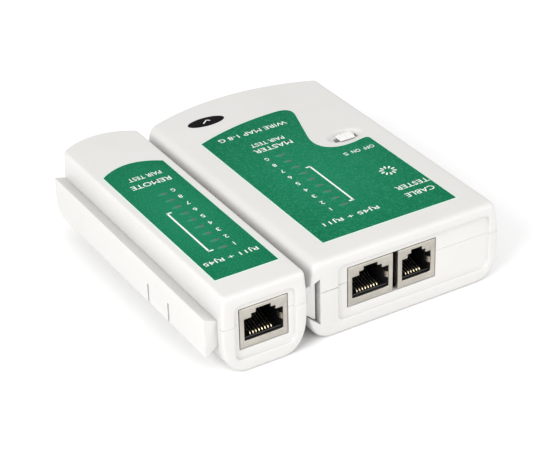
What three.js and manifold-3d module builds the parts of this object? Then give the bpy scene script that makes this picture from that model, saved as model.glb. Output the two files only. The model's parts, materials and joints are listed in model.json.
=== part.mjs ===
// Network cable tester: a wide main unit (master) with a narrow far-end unit (remote) docked on
// its left side by a dovetail. Millimetres, +Z up, jacks towards -Y, origin under the middle.
import * as THREE from 'three';
import { mergeVertices } from 'three/addons/utils/BufferGeometryUtils.js';
import Module from 'manifold-3d';

const wasm = await Module();
wasm.setup();

// ---- driving dimensions ---------------------------------------------------------------------
const GAP = 0.3;                 // working gap between separate pieces
const ROUND = 7;                 // how finely the case's curved outlines are cut
const SMALL_ROUND = 2;           // the same for small round corners
const WALL = 2.0;                // side walls and floors
const ROOF = 1.8;                // top walls
const FRONT_WALL = 2.4;
const PARTING = 16.4;            // height of the line where the shells meet
const SEAM = 0.2;                // the open line between two shells

// each case: x of its middle line, half width at the top and at the belly, height, front face,
// rear corners, rear middle (the rear face is an arc) and the radii of its two long top edges
const MASTER = { x: 17.23, top: 32.7, belly: 35.0, height: 27.0, front: -53.5, corner: 48.0,
  rear: 55.2, leftEdge: 3.0, rightEdge: 1.6, nose: 1.8 };
const REMOTE = { x: -32.87, top: 13.35, belly: 14.5, height: 27.5, front: -55.2, corner: 48.8,
  rear: 53.6, leftEdge: 0.9, rightEdge: 0.9, nose: 1.6 };

// dovetail: heights at the rail's outer face and at its root, and its reach from the middle line
const RAIL = { outer: 18.5, root: 14.0, low: 7.1, high: 20.3, rootLow: 10.9, rootHigh: 18.5,
  front: -52.7, rear: 46.4, corner: 5.0, clearance: 0.55, bump: 0.5 };
const TAB = { from: -30.8, to: -17.3, slit: 0.9, top: 14.0, thick: 1.6 };

// jacks: the shield's outside, and the height of its underside
const JACK_FLOOR = 7.55;
const JACK_HEIGHT = 13.4;
const JACK_DEPTH = 16.2;
const SHEET = 0.5;               // the shield's wall
const RJ45 = { width: 16.0, mouth: 13.0, contacts: 8 };
const RJ11 = { width: 13.6, mouth: 10.4, contacts: 6 };
const PITCH = 1.02;              // from one contact to the next
const FACE_DEPTH = 1.0;          // the sunk panel round the jacks

const BOARD = { low: 21.3, high: 22.7 };
const LED = { half: 1.7, narrow: 0.75, pitch: 4.65 };
const LABEL_SINK = 0.45;
const LABEL_THICK = 0.3;

const SWITCH = { x: 18.5, y: 8.2, dishLong: 7.04, dishWide: 3.85, dishDepth: 1.1 };
const KNOB = { half: 2.8, narrow: 1.8, neck: 1.6, neckNarrow: 0.75, proud: 0.2 };
const OVAL = { x: -14.7, y: 41.7, long: 6.8, wide: 2.9, thick: 0.15 };
const PANEL = { low: 4.2, high: 23.2, round: 2.2 };      // the sunk panels round the front jacks
const TAIL_PANEL = { half: 8.6, low: 5.4, high: 23.0, round: 1.8, depth: 1.6 };
const BATTERY = { width: 26.2, length: 46.4, height: 17.2, floor: 2.75, front: 1.6 };
const DOOR = { half: 13.5, tongue: 15.1, front: -4.4, panel: 1.2, top: 2.4 };
const SCREW = { head: 2.6, headHigh: 1.6, shank: 1.2, sink: 1.1, length: 15.0, boss: 3.2 };

// ---- materials ------------------------------------------------------------------------------
const finish = (color, roughness, metalness) =>
  new THREE.MeshStandardMaterial({ color, roughness, metalness });
const CASE = finish(0xe6e4df, 0.45, 0);
const PRINT = finish(0x0f7a52, 0.5, 0);
const STICKER = finish(0x17181a, 0.4, 0);
const SHIELD = finish(0xc8c2b8, 0.3, 1);
const INSERT = finish(0x1b1c1e, 0.5, 0);
const GOLD = finish(0xd8b45a, 0.3, 1);
const FIBRE = finish(0x2c6b3c, 0.5, 0);
const CHIP = finish(0x202022, 0.6, 0);
const LENS = finish(0xb9d8b0, 0.2, 0);
const POWER_LENS = finish(0xc23a30, 0.2, 0);
const STEEL = finish(0xb8b9bb, 0.35, 1);
const CELL = finish(0x34383d, 0.4, 0.3);
const RED_WIRE = finish(0xb02a24, 0.5, 0);
const BLACK_WIRE = finish(0x1c1c1e, 0.5, 0);
const CERAMIC = finish(0xb9a27c, 0.6, 0);
const WHITE_KNOB = finish(0xf0efea, 0.4, 0);

// ---- solids ---------------------------------------------------------------------------------
// A three.js geometry as a manifold solid, and back.
function solid(geometry) {
  const bare = geometry.clone();
  bare.deleteAttribute('normal');
  bare.deleteAttribute('uv');
  const merged = mergeVertices(bare, 1e-4);
  return new wasm.Manifold(new wasm.Mesh({
    numProp: 3,
    vertProperties: new Float32Array(merged.attributes.position.array),
    triVerts: new Uint32Array(merged.index.array),
  }));
}

function geometryOf(body) {
  const mesh = body.getMesh();
  const geometry = new THREE.BufferGeometry();
  geometry.setAttribute('position', new THREE.BufferAttribute(mesh.vertProperties, 3));
  geometry.setIndex(new THREE.BufferAttribute(mesh.triVerts, 1));
  geometry.computeVertexNormals();
  return geometry;
}

const X = new THREE.Vector3(1, 0, 0);
const Y = new THREE.Vector3(0, 1, 0);
const Z = new THREE.Vector3(0, 0, 1);

const prism = (shape, depth, curveSegments = ROUND) =>
  new THREE.ExtrudeGeometry(shape, { depth, bevelEnabled: false, curveSegments });

// an outline in (x, z) pushed from y0 to y1
function alongY(shape, y0, y1, fineness = ROUND) {
  const turn = new THREE.Matrix4().makeBasis(X, Z, Y.clone().negate());
  return solid(prism(shape, y1 - y0, fineness).applyMatrix4(turn).translate(0, y1, 0));
}

// an outline in (x, y) pushed from z0 to z1
const alongZ = (shape, z0, z1, fineness = ROUND) =>
  solid(prism(shape, z1 - z0, fineness).translate(0, 0, z0));

// an outline in (y, z) pushed from x0 to x1
function alongX(shape, x0, x1) {
  const turn = new THREE.Matrix4().makeBasis(Y, Z, X);
  return solid(prism(shape, x1 - x0).applyMatrix4(turn).translate(x0, 0, 0));
}

// a box between two corners
function box(x0, x1, y0, y1, z0, z1) {
  const geometry = new THREE.BoxGeometry(x1 - x0, y1 - y0, z1 - z0);
  return solid(geometry.translate((x0 + x1) / 2, (y0 + y1) / 2, (z0 + z1) / 2));
}

// an upright cylinder or cone
function post(x, y, z0, z1, radius, topRadius = radius, sides = 16) {
  const geometry = new THREE.CylinderGeometry(topRadius, radius, z1 - z0, sides);
  return solid(geometry.rotateX(Math.PI / 2).translate(x, y, (z0 + z1) / 2));
}

const sum = (bodies) => bodies.reduce((whole, next) => whole.add(next));

function polygon(points) {
  return new THREE.Shape(points.map(([a, b]) => new THREE.Vector2(a, b)));
}

// a rectangle with round corners
function roundedRectangle(x0, x1, y0, y1, r) {
  const shape = new THREE.Shape();
  shape.moveTo(x0 + r, y0);
  shape.lineTo(x1 - r, y0);
  shape.absarc(x1 - r, y0 + r, r, -Math.PI / 2, 0);
  shape.absarc(x1 - r, y1 - r, r, 0, Math.PI / 2);
  shape.absarc(x0 + r, y1 - r, r, Math.PI / 2, Math.PI);
  shape.absarc(x0 + r, y0 + r, r, Math.PI, Math.PI * 1.5);
  return shape;
}

// ---- the case's outer form ------------------------------------------------------------------
// Cross-section: flat underside, long soft lower corners, a belly, and rounded top edges.
function section(top, belly, height, leftEdge, rightEdge) {
  const shape = new THREE.Shape();
  const cornerStart = belly - 8.5;
  shape.moveTo(-cornerStart, 0);
  shape.lineTo(cornerStart, 0);
  shape.bezierCurveTo(belly - 4.0, 0, belly - 1.25, 3.5, belly - 0.55, 9.2);
  shape.quadraticCurveTo(belly + 0.2, 16, top + 0.1 + rightEdge * 0.12, height - rightEdge);
  shape.quadraticCurveTo(top, height, top - rightEdge, height);
  shape.lineTo(-top + leftEdge, height);
  shape.quadraticCurveTo(-top, height, -top - 0.1 - leftEdge * 0.12, height - leftEdge);
  shape.quadraticCurveTo(-belly - 0.2, 16, -belly + 0.55, 9.2);
  shape.bezierCurveTo(-belly + 1.25, 3.5, -belly + 4.0, 0, -cornerStart, 0);
  return shape;
}

// Plan: straight front and sides, and a rear edge on one arc through the corners and the middle.
function plan(half, front, corner, rear) {
  const rise = rear - corner;
  const radius = (half * half + rise * rise) / (2 * rise);
  const reach = Math.asin((half + 4) / radius);
  const shape = new THREE.Shape();
  shape.moveTo(-half - 4, front);
  shape.lineTo(half + 4, front);
  shape.absarc(0, rear - radius, radius, Math.PI / 2 - reach, Math.PI / 2 + reach);
  return shape;
}

// Side view: the front face turns over softly into the top.
function profile(front, height, nose) {
  const shape = new THREE.Shape();
  const far = 80;
  shape.moveTo(front + 0.8, 0);
  shape.lineTo(far, 0);
  shape.lineTo(far, height);
  shape.lineTo(front + nose, height);
  shape.quadraticCurveTo(front, height, front, height - nose);
  shape.lineTo(front, 0.8);
  shape.quadraticCurveTo(front, 0, front + 0.8, 0);
  return shape;
}

function outerForm(c) {
  return alongY(section(c.top, c.belly, c.height, c.leftEdge, c.rightEdge), -70, 70)
    .intersect(alongZ(plan(c.top, c.front, c.corner, c.rear), -1, 40))
    .intersect(alongX(profile(c.front, c.height, c.nose), -60, 60));
}

// The hollow inside a case.
function innerForm(c) {
  const edge = Math.max(c.leftEdge, c.rightEdge) / 2;
  const across = section(c.top - WALL, c.belly - WALL, c.height - WALL - ROOF, edge, edge);
  const seenFromTop = plan(c.top - WALL, c.front + FRONT_WALL, c.corner - WALL, c.rear - WALL);
  return alongY(across, -70, 70).translate([0, 0, WALL]).intersect(alongZ(seenFromTop, 0, 40));
}

// Everything below a height, and everything above it.
const below = (z) => box(-90, 90, -90, 90, -5, z);
const above = (z) => box(-90, 90, -90, 90, z, 60);

// ---- jacks ----------------------------------------------------------------------------------
// The mouth's outline, with the two-step keyway for the plug's latch above it.
function mouthShape(jack, grow = 0) {
  const half = jack.mouth / 2 + grow;
  const low = 2.3 - grow;
  const shoulder = 9.7 + grow;
  const wide = jack.mouth * 0.31 + grow;
  const narrow = jack.mouth * 0.19 + grow;
  return polygon([[-half, low], [half, low], [half, shoulder], [wide, shoulder],
    [wide, shoulder + 1.3], [narrow, shoulder + 1.3], [narrow, shoulder + 2.5],
    [-narrow, shoulder + 2.5], [-narrow, shoulder + 1.3], [-wide, shoulder + 1.3],
    [-wide, shoulder], [-half, shoulder]]);
}

// A folded sheet box, open at the back, with the mouth cut in its face.
function shieldSolid(jack) {
  const half = jack.width / 2;
  const can = box(-half, half, 0, JACK_DEPTH, 0, JACK_HEIGHT);
  const inside = box(-half + SHEET, half - SHEET, SHEET, JACK_DEPTH + 1, SHEET, JACK_HEIGHT - SHEET);
  return can.subtract(inside).subtract(alongY(mouthShape(jack), -1, 2));
}

// The black insert: a block with the plug's space and grooves for the contacts.
function housingSolid(jack) {
  const half = jack.width / 2 - SHEET - 0.2;
  const back = JACK_DEPTH - 0.3;
  const block = box(-half, half, SHEET + 0.2, back, SHEET + 0.2, JACK_HEIGHT - SHEET - 0.2);
  return block.subtract(alongY(mouthShape(jack, -0.1), -1, back - 2.2));
}

// Spring contacts: each rises from the floor near the mouth to a moulded bar across the back.
function contactSolids(jack) {
  const reach = ((jack.contacts - 1) / 2) * PITCH + 0.6;
  const wires = [box(-reach, reach, 12.0, 13.2, 6.0, 7.4)];
  const wire = polygon([[4.2, 2.75], [4.9, 2.75], [12.6, 6.2], [12.6, 6.75], [12.2, 6.75], [4.2, 3.2]]);
  for (let i = 0; i < jack.contacts; i += 1) {
    const x = (i - (jack.contacts - 1) / 2) * PITCH;
    wires.push(alongX(wire, x - 0.2, x + 0.2));
  }
  return sum(wires);
}

// ---- small parts ----------------------------------------------------------------------------
function capsule(half, narrow) {
  const shape = new THREE.Shape();
  shape.absarc(half - narrow, 0, narrow, -Math.PI / 2, Math.PI / 2);
  shape.absarc(-half + narrow, 0, narrow, Math.PI / 2, Math.PI * 1.5);
  return shape;
}

// A line LED: an oval lens on a flanged base, standing on the board.
function ledSolid(topZ) {
  const foot = BOARD.high + 0.1;
  const flange = capsule(LED.half + 0.6, LED.narrow + 0.5);
  const lens = capsule(LED.half, LED.narrow);
  return alongZ(flange, foot, foot + 0.9, SMALL_ROUND).add(alongZ(lens, foot, topZ, SMALL_ROUND));
}

// A chip hanging under the board: its body, a notch at one end and two rows of legs.
function chipSolid(pins, length) {
  const rows = pins / 2;
  const top = BOARD.low - 0.7;
  const bodyOfChip = box(-length / 2, length / 2, -3.2, 3.2, top - 3.2, top)
    .subtract(post(-length / 2, 0, top - 4, top - 2.6, 0.9, 0.9, 10));
  const legs = [];
  for (let i = 0; i < rows; i += 1) {
    const x = (i - (rows - 1) / 2) * 2.54;
    for (const side of [-1, 1]) {
      const inner = side * 3.1;
      const outer = side * 3.9;
      legs.push(box(x - 0.3, x + 0.3, Math.min(inner, outer), Math.max(inner, outer),
        top - 1.7, BOARD.low - 0.2));
    }
  }
  return bodyOfChip.add(sum(legs));
}

// A through-hole resistor or diode lying along Y under the board: a bead and two bent legs.
function axialSolid(radius, length) {
  const z = BOARD.low - 0.4 - radius;
  const bead = new THREE.CylinderGeometry(radius, radius, length, 10);
  const parts = [solid(bead.translate(0, 0, z))];
  for (const side of [-1, 1]) {
    const near = side * (length / 2 - 0.2);
    const far = side * (length / 2 + 1.6);
    parts.push(box(-0.25, 0.25, Math.min(near, far), Math.max(near, far), z - 0.25, z + 0.25));
    parts.push(box(-0.25, 0.25, Math.min(far, far - side * 0.5), Math.max(far, far - side * 0.5),
      z - 0.25, BOARD.low - 0.2));
  }
  return sum(parts);
}

// A self-tapping screw: pan head below, with a cross recess, and a pointed shank.
function screwSolid(x, y) {
  const z = SCREW.sink;
  const neck = z + SCREW.headHigh;
  const tip = z + SCREW.length;
  const slot = box(x - 1.5, x + 1.5, y - 0.3, y + 0.3, z - 1, z + 0.7)
    .add(box(x - 0.3, x + 0.3, y - 1.5, y + 1.5, z - 1, z + 0.7));
  return post(x, y, z, neck, SCREW.head - 0.4, SCREW.head)
    .add(post(x, y, neck - 0.1, tip - 1.5, SCREW.shank))
    .add(post(x, y, tip - 1.6, tip, SCREW.shank, 0.3))
    .subtract(slot);
}

// A lead: a round cord along a smooth route.
function leadGeometry(points, radius) {
  const route = new THREE.CatmullRomCurve3(points.map(([x, y, z]) => new THREE.Vector3(x, y, z)));
  const circle = new THREE.Shape();
  circle.absarc(0, 0, radius, 0, Math.PI * 2);
  return new THREE.ExtrudeGeometry(circle, { steps: 18, extrudePath: route, curveSegments: 4 });
}

// ---- assembly -------------------------------------------------------------------------------
const tester = new THREE.Group();
tester.name = 'cable_tester';
const master = new THREE.Group();
master.position.x = MASTER.x;
const remote = new THREE.Group();
remote.position.x = REMOTE.x;
tester.add(master, remote);

function place(group, name, shape, material, x = 0, y = 0, z = 0) {
  const geometry = shape.isBufferGeometry ? shape : geometryOf(shape);
  const mesh = new THREE.Mesh(geometry, material);
  mesh.name = name;
  mesh.position.set(x, y, z);
  group.add(mesh);
  return mesh;
}

// a jack's three pieces, its face at y, looking along -Y or turned round to look along +Y
function placeJack(group, name, jack, x, y, turned = false) {
  const pieces = [['shield', shieldSolid, SHIELD], ['housing', housingSolid, INSERT],
    ['contacts', contactSolids, GOLD]];
  for (const [piece, make, material] of pieces) {
    const geometry = geometryOf(make(jack));
    if (turned) geometry.rotateZ(Math.PI);
    place(group, `${name}_${piece}`, geometry, material, x, y, JACK_FLOOR);
  }
}

// ---- dovetail -------------------------------------------------------------------------------
// the rail's outline on the right side, and the channel round it
const railOutline = polygon([[RAIL.root, RAIL.rootLow], [RAIL.outer, RAIL.low],
  [RAIL.outer, RAIL.high], [RAIL.root, RAIL.rootHigh]]);

function channelOutline(grow) {
  const lowSlope = (RAIL.rootLow - RAIL.low) / (RAIL.outer - RAIL.root);
  const highSlope = (RAIL.high - RAIL.rootHigh) / (RAIL.outer - RAIL.root);
  const back = RAIL.outer + 1.2 + grow;
  const mouth = RAIL.root - 1;
  const lowAt = (x) => RAIL.low + (RAIL.outer - x) * lowSlope - RAIL.clearance - grow * 1.3;
  const highAt = (x) => RAIL.high - (RAIL.outer - x) * highSlope + RAIL.clearance + grow * 1.1;
  return polygon([[mouth, lowAt(mouth)], [back, lowAt(back)], [back, highAt(back)],
    [mouth, highAt(mouth)]]);
}

// One rail, on the right: its rear lower corner is round, and a tab between two slits is free
// to bend, with a small bump at its foot that holds the remote in place.
function railSolid() {
  const side = new THREE.Shape();
  const round = RAIL.corner;
  side.moveTo(RAIL.front, 0);
  side.lineTo(RAIL.rear - round, 0);
  side.lineTo(RAIL.rear - round, RAIL.low);
  side.quadraticCurveTo(RAIL.rear, RAIL.low, RAIL.rear, RAIL.low + round);
  side.lineTo(RAIL.rear, 30);
  side.lineTo(RAIL.front, 30);
  const bar = alongY(railOutline, RAIL.front, RAIL.rear).intersect(alongX(side, 10, 22));
  const behind = box(RAIL.root + 0.6, RAIL.outer - TAB.thick, TAB.from, TAB.to, 0, TAB.top);
  const slits = box(RAIL.root + 0.6, 30, TAB.from, TAB.from + TAB.slit, 0, TAB.top)
    .add(box(RAIL.root + 0.6, 30, TAB.to - TAB.slit, TAB.to, 0, TAB.top));
  const bump = polygon([[RAIL.outer - 0.5, RAIL.low + 0.2], [RAIL.outer, RAIL.low + 0.2],
    [RAIL.outer + RAIL.bump, RAIL.low + 1.0], [RAIL.outer, RAIL.low + 2.6],
    [RAIL.outer - 0.5, RAIL.low + 2.6]]);
  const foot = alongY(bump, TAB.from + TAB.slit, TAB.to - TAB.slit);
  return bar.subtract(behind).add(foot).subtract(slits);
}

// ---- labels ---------------------------------------------------------------------------------
function masterLabelShape(shrink) {
  const s = shrink;
  const shape = new THREE.Shape();
  shape.moveTo(-24.1 + s, -45.0 + s);
  shape.lineTo(24.8 - s, -45.0 + s);
  shape.lineTo(24.6 - s, 1.8);
  shape.quadraticCurveTo(24.6 - s, 3.7 - s, 22.8, 3.6 - s);
  shape.bezierCurveTo(20.5, 3.4 - s, 18.5, 2.6 - s, 15.0, 2.7 - s);
  shape.bezierCurveTo(8.4 - s, 3.1 - s, 5.9 - s, 7.6, 8.2 - s, 14.5);
  shape.lineTo(12.9 - s, 29.6);
  shape.bezierCurveTo(13.9 - s, 33.4, 11.8 - s, 35.2 - s, 8.0, 35.2 - s);
  shape.quadraticCurveTo(-8.0, 35.2 - s, -24.1 + s, 28.8 - s);
  return shape;
}

function remoteLabelShape(shrink) {
  const s = shrink;
  const shape = new THREE.Shape();
  shape.moveTo(-11.0 + s, -45.9 + s);
  shape.lineTo(10.8 - s, -45.9 + s);
  shape.lineTo(10.8 - s, 25.7 - s);
  shape.quadraticCurveTo(0, 33.9 - s, -11.0 + s, 25.7 - s);
  return shape;
}

// ---- master ---------------------------------------------------------------------------------
const masterOuter = outerForm(MASTER);
const masterInner = innerForm(MASTER);

// the remote's rail reaches into a channel along the master's left side
const channelShift = REMOTE.x - MASTER.x;
const channelEnd = RAIL.rear + 0.5;
const channelCut = alongY(channelOutline(0), -70, channelEnd).translate([channelShift, 0, 0]);
const channelWall = alongY(channelOutline(1.4), -70, channelEnd + 1.2)
  .translate([channelShift, 0, 0]).intersect(masterOuter);

const masterJacks = { first: -12.1, second: 4.5, y: MASTER.front + FACE_DEPTH };
const masterPanel = alongY(roundedRectangle(-23.9, 31.0, PANEL.low, PANEL.high, PANEL.round),
  MASTER.front - 1, MASTER.front + FACE_DEPTH, SMALL_ROUND);
const masterWindow = box(masterJacks.first - RJ45.width / 2 - GAP,
  masterJacks.second + RJ11.width / 2 + GAP, MASTER.front - 1, MASTER.front + FRONT_WALL + 1,
  JACK_FLOOR - GAP, JACK_FLOOR + JACK_HEIGHT + GAP);

const masterWall = masterOuter.subtract(masterInner).add(channelWall)
  .subtract(channelCut).subtract(masterPanel).subtract(masterWindow);

const masterScrews = [[-24.4, -45.5], [27.4, -45.5], [-22.5, 42.5], [22.5, 42.5]];
const jointZ = 11.0;             // where the screw bosses of the two shells meet
const shankTop = 18.0;           // how high the holes for the screws' shanks reach

function lowerBosses(spots) {
  return sum(spots.map(([x, y]) => post(x, y, 0.5, jointZ - GAP / 2, SCREW.boss)));
}

const shankHoles = (spots) =>
  sum(spots.map(([x, y]) => post(x, y, 0, shankTop, SCREW.shank + GAP)));

// the screw's way in from below: a wide sink for the head and a hole for the shank
function screwHoles(spots) {
  const headTop = SCREW.sink + SCREW.headHigh + GAP;
  return sum(spots.map(([x, y]) => post(x, y, -1, headTop, SCREW.head + GAP)))
    .add(shankHoles(spots));
}

function upperBosses(spots, roof) {
  return sum(spots.map(([x, y]) => post(x, y, jointZ + GAP / 2, roof, SCREW.boss - 0.4)));
}

// holes in a board round the screw bosses
const bossHoles = (spots) => sum(spots.map(([x, y]) => post(x, y, 10, 30, SCREW.boss)));

// posts that carry the board, and short ones that hold it down
const boardPosts = (spots, z0, z1) =>
  sum(spots.map(([x, y]) => box(x - 1, x + 1, y - 1, y + 1, z0, z1)));

const masterPosts = [[-19.4, -31], [22.0, -31], [-18.5, 9.5], [22.0, -1]];
const ledX = -6.6;
const ledFirst = -29.2;          // LED 1, nearest the jacks
const powerLed = { x: 16.7, y: -19.2, radius: 1.5 };

// the battery door's space in the floor: an opening, and grooves for the door's tongues
const doorWay = box(-DOOR.half - GAP, DOOR.half + GAP, DOOR.front - GAP, 70, -1, DOOR.top + GAP)
  .add(box(-DOOR.tongue - GAP, DOOR.tongue + GAP, DOOR.front - GAP, 70, DOOR.panel, DOOR.top + GAP));
const bayHalf = BATTERY.width / 2 + 0.5;
const bayRear = BATTERY.front + BATTERY.length + 0.5;
const bayWalls = box(-bayHalf - 3.4, bayHalf + 3.4, DOOR.front - 1.6, 60, 0.5, DOOR.top + GAP + 1)
  .add(box(-bayHalf - 1.2, bayHalf + 1.2, DOOR.front - 1.6, bayRear + 1.2, 1, 14))
  .subtract(box(-bayHalf, bayHalf, DOOR.front - GAP, bayRear, -1, 20))
  .subtract(box(-20, 20, -20, DOOR.front, 7.5, 20))
  .intersect(masterOuter);

const masterBottom = masterWall.intersect(below(PARTING - SEAM / 2))
  .add(lowerBosses(masterScrews)).add(bayWalls)
  .add(boardPosts(masterPosts.slice(0, 2), 1, BOARD.low - GAP))
  .subtract(doorWay).subtract(screwHoles(masterScrews));
place(master, 'master_bottom_shell', masterBottom, CASE);

// the door: its underside is the case's own, and its tongues run in the grooves
const doorPlate = box(-DOOR.half, DOOR.half, DOOR.front, 70, -1, DOOR.top)
  .add(box(-DOOR.tongue, DOOR.tongue, DOOR.front, 70, DOOR.panel + GAP, DOOR.top))
  .intersect(masterOuter);
const thumbGrip = sum([0, 1, 2, 3].map((i) => box(-6 + i, 6 - i, 38 + i * 2, 38.9 + i * 2, -1, 0.5)));
place(master, 'battery_door', doorPlate.subtract(thumbGrip), CASE);

const dish = solid(new THREE.CylinderGeometry(1, 0.8, SWITCH.dishDepth + 1, 24).rotateX(Math.PI / 2)
  .scale(SWITCH.dishLong, SWITCH.dishWide, 1)
  .translate(SWITCH.x, SWITCH.y, MASTER.height - SWITCH.dishDepth / 2 + 0.5));
const knobSlot = box(SWITCH.x - 4.4, SWITCH.x + 4.4, SWITCH.y - 1.1, SWITCH.y + 1.1, 20, 30);

function ledHoles(x, first) {
  const hole = capsule(LED.half + 0.35, LED.narrow + 0.35);
  const one = solid(prism(hole, 8, SMALL_ROUND));
  return sum([...Array(9).keys()].map((i) => one.translate([x, first + i * LED.pitch, 22])));
}

const masterRoof = MASTER.height - ROOF + 0.5;
const masterTop = masterWall.intersect(above(PARTING + SEAM / 2))
  .add(upperBosses(masterScrews, masterRoof))
  .add(boardPosts(masterPosts, BOARD.high + GAP, masterRoof))
  .subtract(alongZ(masterLabelShape(-0.25), MASTER.height - LABEL_SINK, 40))
  .subtract(dish).subtract(knobSlot).subtract(ledHoles(ledX, ledFirst))
  .subtract(post(powerLed.x, powerLed.y, 20, 30, powerLed.radius + GAP))
  .subtract(shankHoles(masterScrews));
place(master, 'master_top_shell', masterTop, CASE);

const labelFloor = MASTER.height - LABEL_SINK + 0.1;
place(master, 'master_label', alongZ(masterLabelShape(0), labelFloor, labelFloor + LABEL_THICK), PRINT);
const oval = new THREE.Shape();
oval.absellipse(0, 0, OVAL.long, OVAL.wide, 0, Math.PI * 2);
place(master, 'oval_sticker', prism(oval, OVAL.thick, 24), STICKER, OVAL.x, OVAL.y,
  MASTER.height + 0.02);

placeJack(master, 'master_rj45', RJ45, masterJacks.first, masterJacks.y);
placeJack(master, 'master_rj11', RJ11, masterJacks.second, masterJacks.y);

const masterBoard = alongZ(roundedRectangle(-21.6, 25.5, MASTER.front + FRONT_WALL + 0.5, 13.0, 0.8),
  BOARD.low, BOARD.high, SMALL_ROUND);
place(master, 'master_board', masterBoard.subtract(bossHoles(masterScrews.slice(0, 2))), FIBRE);

for (let i = 0; i < 9; i += 1) {
  const mark = i === 8 ? 'g' : i + 1;
  place(master, `master_led_${mark}`, ledSolid(MASTER.height - 0.7), LENS,
    ledX, ledFirst + i * LED.pitch);
}
const dome = solid(new THREE.SphereGeometry(powerLed.radius, 12, 8).translate(0, 0, 24.8));
const stem = post(0, 0, BOARD.high + 0.1, 24.8, powerLed.radius, powerLed.radius, 12);
const stemRim = post(0, 0, BOARD.high + 0.1, 23.5, powerLed.radius + 0.4, powerLed.radius + 0.4, 12);
place(master, 'power_led', stem.add(dome).add(stemRim), POWER_LENS, powerLed.x, powerLed.y);

place(master, 'counter_chip', chipSolid(16, 19.3), CHIP, 6.0, -24.0);
place(master, 'timer_chip', chipSolid(8, 9.6), CHIP, -13.0, -24.0);
for (const i of [1, 2]) {
  place(master, `resistor_${i}`, axialSolid(1.1, 6.2), CERAMIC, -5 + i * 4.4, -12.5);
}
place(master, 'capacitor', post(0, 0, BOARD.low - 6.8, BOARD.low - 0.3, 2.5), CELL, -14.0, -11.5);

// the slide switch: a metal can on the board with a slot in its lid
const can = box(-6.2, 6.2, -2.4, 2.4, BOARD.high + 0.1, MASTER.height - ROOF - 0.4)
  .subtract(box(-4.2, 4.2, -1.1, 1.1, BOARD.high + 1.0, 30));
place(master, 'switch_body', can, STEEL, SWITCH.x, SWITCH.y);

const knobTop = MASTER.height + KNOB.proud;
const ribs = sum([-2, -1, 0, 1, 2].map((i) => alongY(polygon([[i - 0.25, knobTop + 0.1],
  [i, knobTop - 0.45], [i + 0.25, knobTop + 0.1]]), -4, 4)));
const knobFloor = MASTER.height - SWITCH.dishDepth + GAP;
const knobNeck = box(-KNOB.neck, KNOB.neck, -KNOB.neckNarrow, KNOB.neckNarrow,
  BOARD.high + 1.3, knobFloor + 0.1);
const knob = box(-KNOB.half, KNOB.half, -KNOB.narrow, KNOB.narrow, knobFloor, knobTop)
  .add(knobNeck).subtract(ribs);
place(master, 'switch_knob', knob, WHITE_KNOB, SWITCH.x, SWITCH.y);

// the battery lies along the case, its terminals towards the jacks
const cellTop = BATTERY.floor + BATTERY.height;
const studZ = BATTERY.floor + BATTERY.height / 2;
const stud = (x, radius, sides) => solid(new THREE.CylinderGeometry(radius, radius, 2.7, sides)
  .translate(x, BATTERY.front - 1.25, studZ));
const cellOutline = roundedRectangle(-BATTERY.width / 2, BATTERY.width / 2, BATTERY.floor,
  cellTop, 1.8);
const cell = alongY(cellOutline, BATTERY.front, BATTERY.front + BATTERY.length, SMALL_ROUND);
place(master, 'battery_9v', cell.add(stud(-6.4, 2.8, 12)).add(stud(6.4, 3.7, 6)), CELL);

const snapFace = BATTERY.front - 0.3;
const snapBack = snapFace - 4.6;
const snapOutline = roundedRectangle(-12, 12, studZ - 5.5, studZ + 5.5, 5.0);
const snap = alongY(snapOutline, snapBack, snapFace, 3)
  .subtract(stud(-6.4, 3.2, 12)).subtract(stud(6.4, 4.2, 12));
place(master, 'battery_snap', snap, INSERT);
const leadStart = snapBack - GAP;
const leadEnd = BOARD.low - GAP;
const leads = [['battery_lead_red', -8, RED_WIRE], ['battery_lead_black', 8, BLACK_WIRE]];
for (const [name, x, material] of leads) {
  const side = Math.sign(x);
  place(master, name, leadGeometry([[x, leadStart, studZ], [x, leadStart - 2.2, studZ - 1],
    [x + side * 1.5, leadStart - 4.4, studZ + 1.5], [x + side * 2, leadStart - 4.2, studZ + 6],
    [x + side * 2, leadStart - 4, leadEnd]], 0.8), material);
}
masterScrews.forEach(([x, y], i) => {
  place(master, `master_screw_${i + 1}`, screwSolid(x, y), STEEL);
});

// ---- remote ---------------------------------------------------------------------------------
const remoteOuter = outerForm(REMOTE);
const remoteInner = innerForm(REMOTE);
const remoteFace = REMOTE.front + FACE_DEPTH;
const remoteTail = REMOTE.rear - TAIL_PANEL.depth;     // the flat panel round the rear jack
const remotePanels = alongY(roundedRectangle(-9.9, 10.2, PANEL.low, PANEL.high, PANEL.round),
  REMOTE.front - 1, remoteFace, SMALL_ROUND)
  .add(alongY(roundedRectangle(-TAIL_PANEL.half, TAIL_PANEL.half, TAIL_PANEL.low,
    TAIL_PANEL.high, TAIL_PANEL.round), remoteTail, 70, SMALL_ROUND));

function windowFor(jack, y0, y1) {
  const half = jack.width / 2 + GAP;
  return box(-half, half, y0, y1, JACK_FLOOR - GAP, JACK_FLOOR + JACK_HEIGHT + GAP);
}

const tailPad = box(-10.5, 10.5, remoteTail - 2.2, remoteTail - 0.01, 3, 24.5);
const remoteWall = remoteOuter.subtract(remoteInner).add(tailPad).subtract(remotePanels)
  .subtract(windowFor(RJ45, REMOTE.front - 1, REMOTE.front + FRONT_WALL + 1))
  .subtract(windowFor(RJ11, remoteTail - 4, 70));

const remoteScrews = [[-7.4, -32.5], [7.4, 22.0]];
const remotePosts = [[8.6, -31.0], [-8.6, 22.0]];
const rails = railSolid();
const bothRails = rails.add(rails.mirror([1, 0, 0]));

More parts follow.
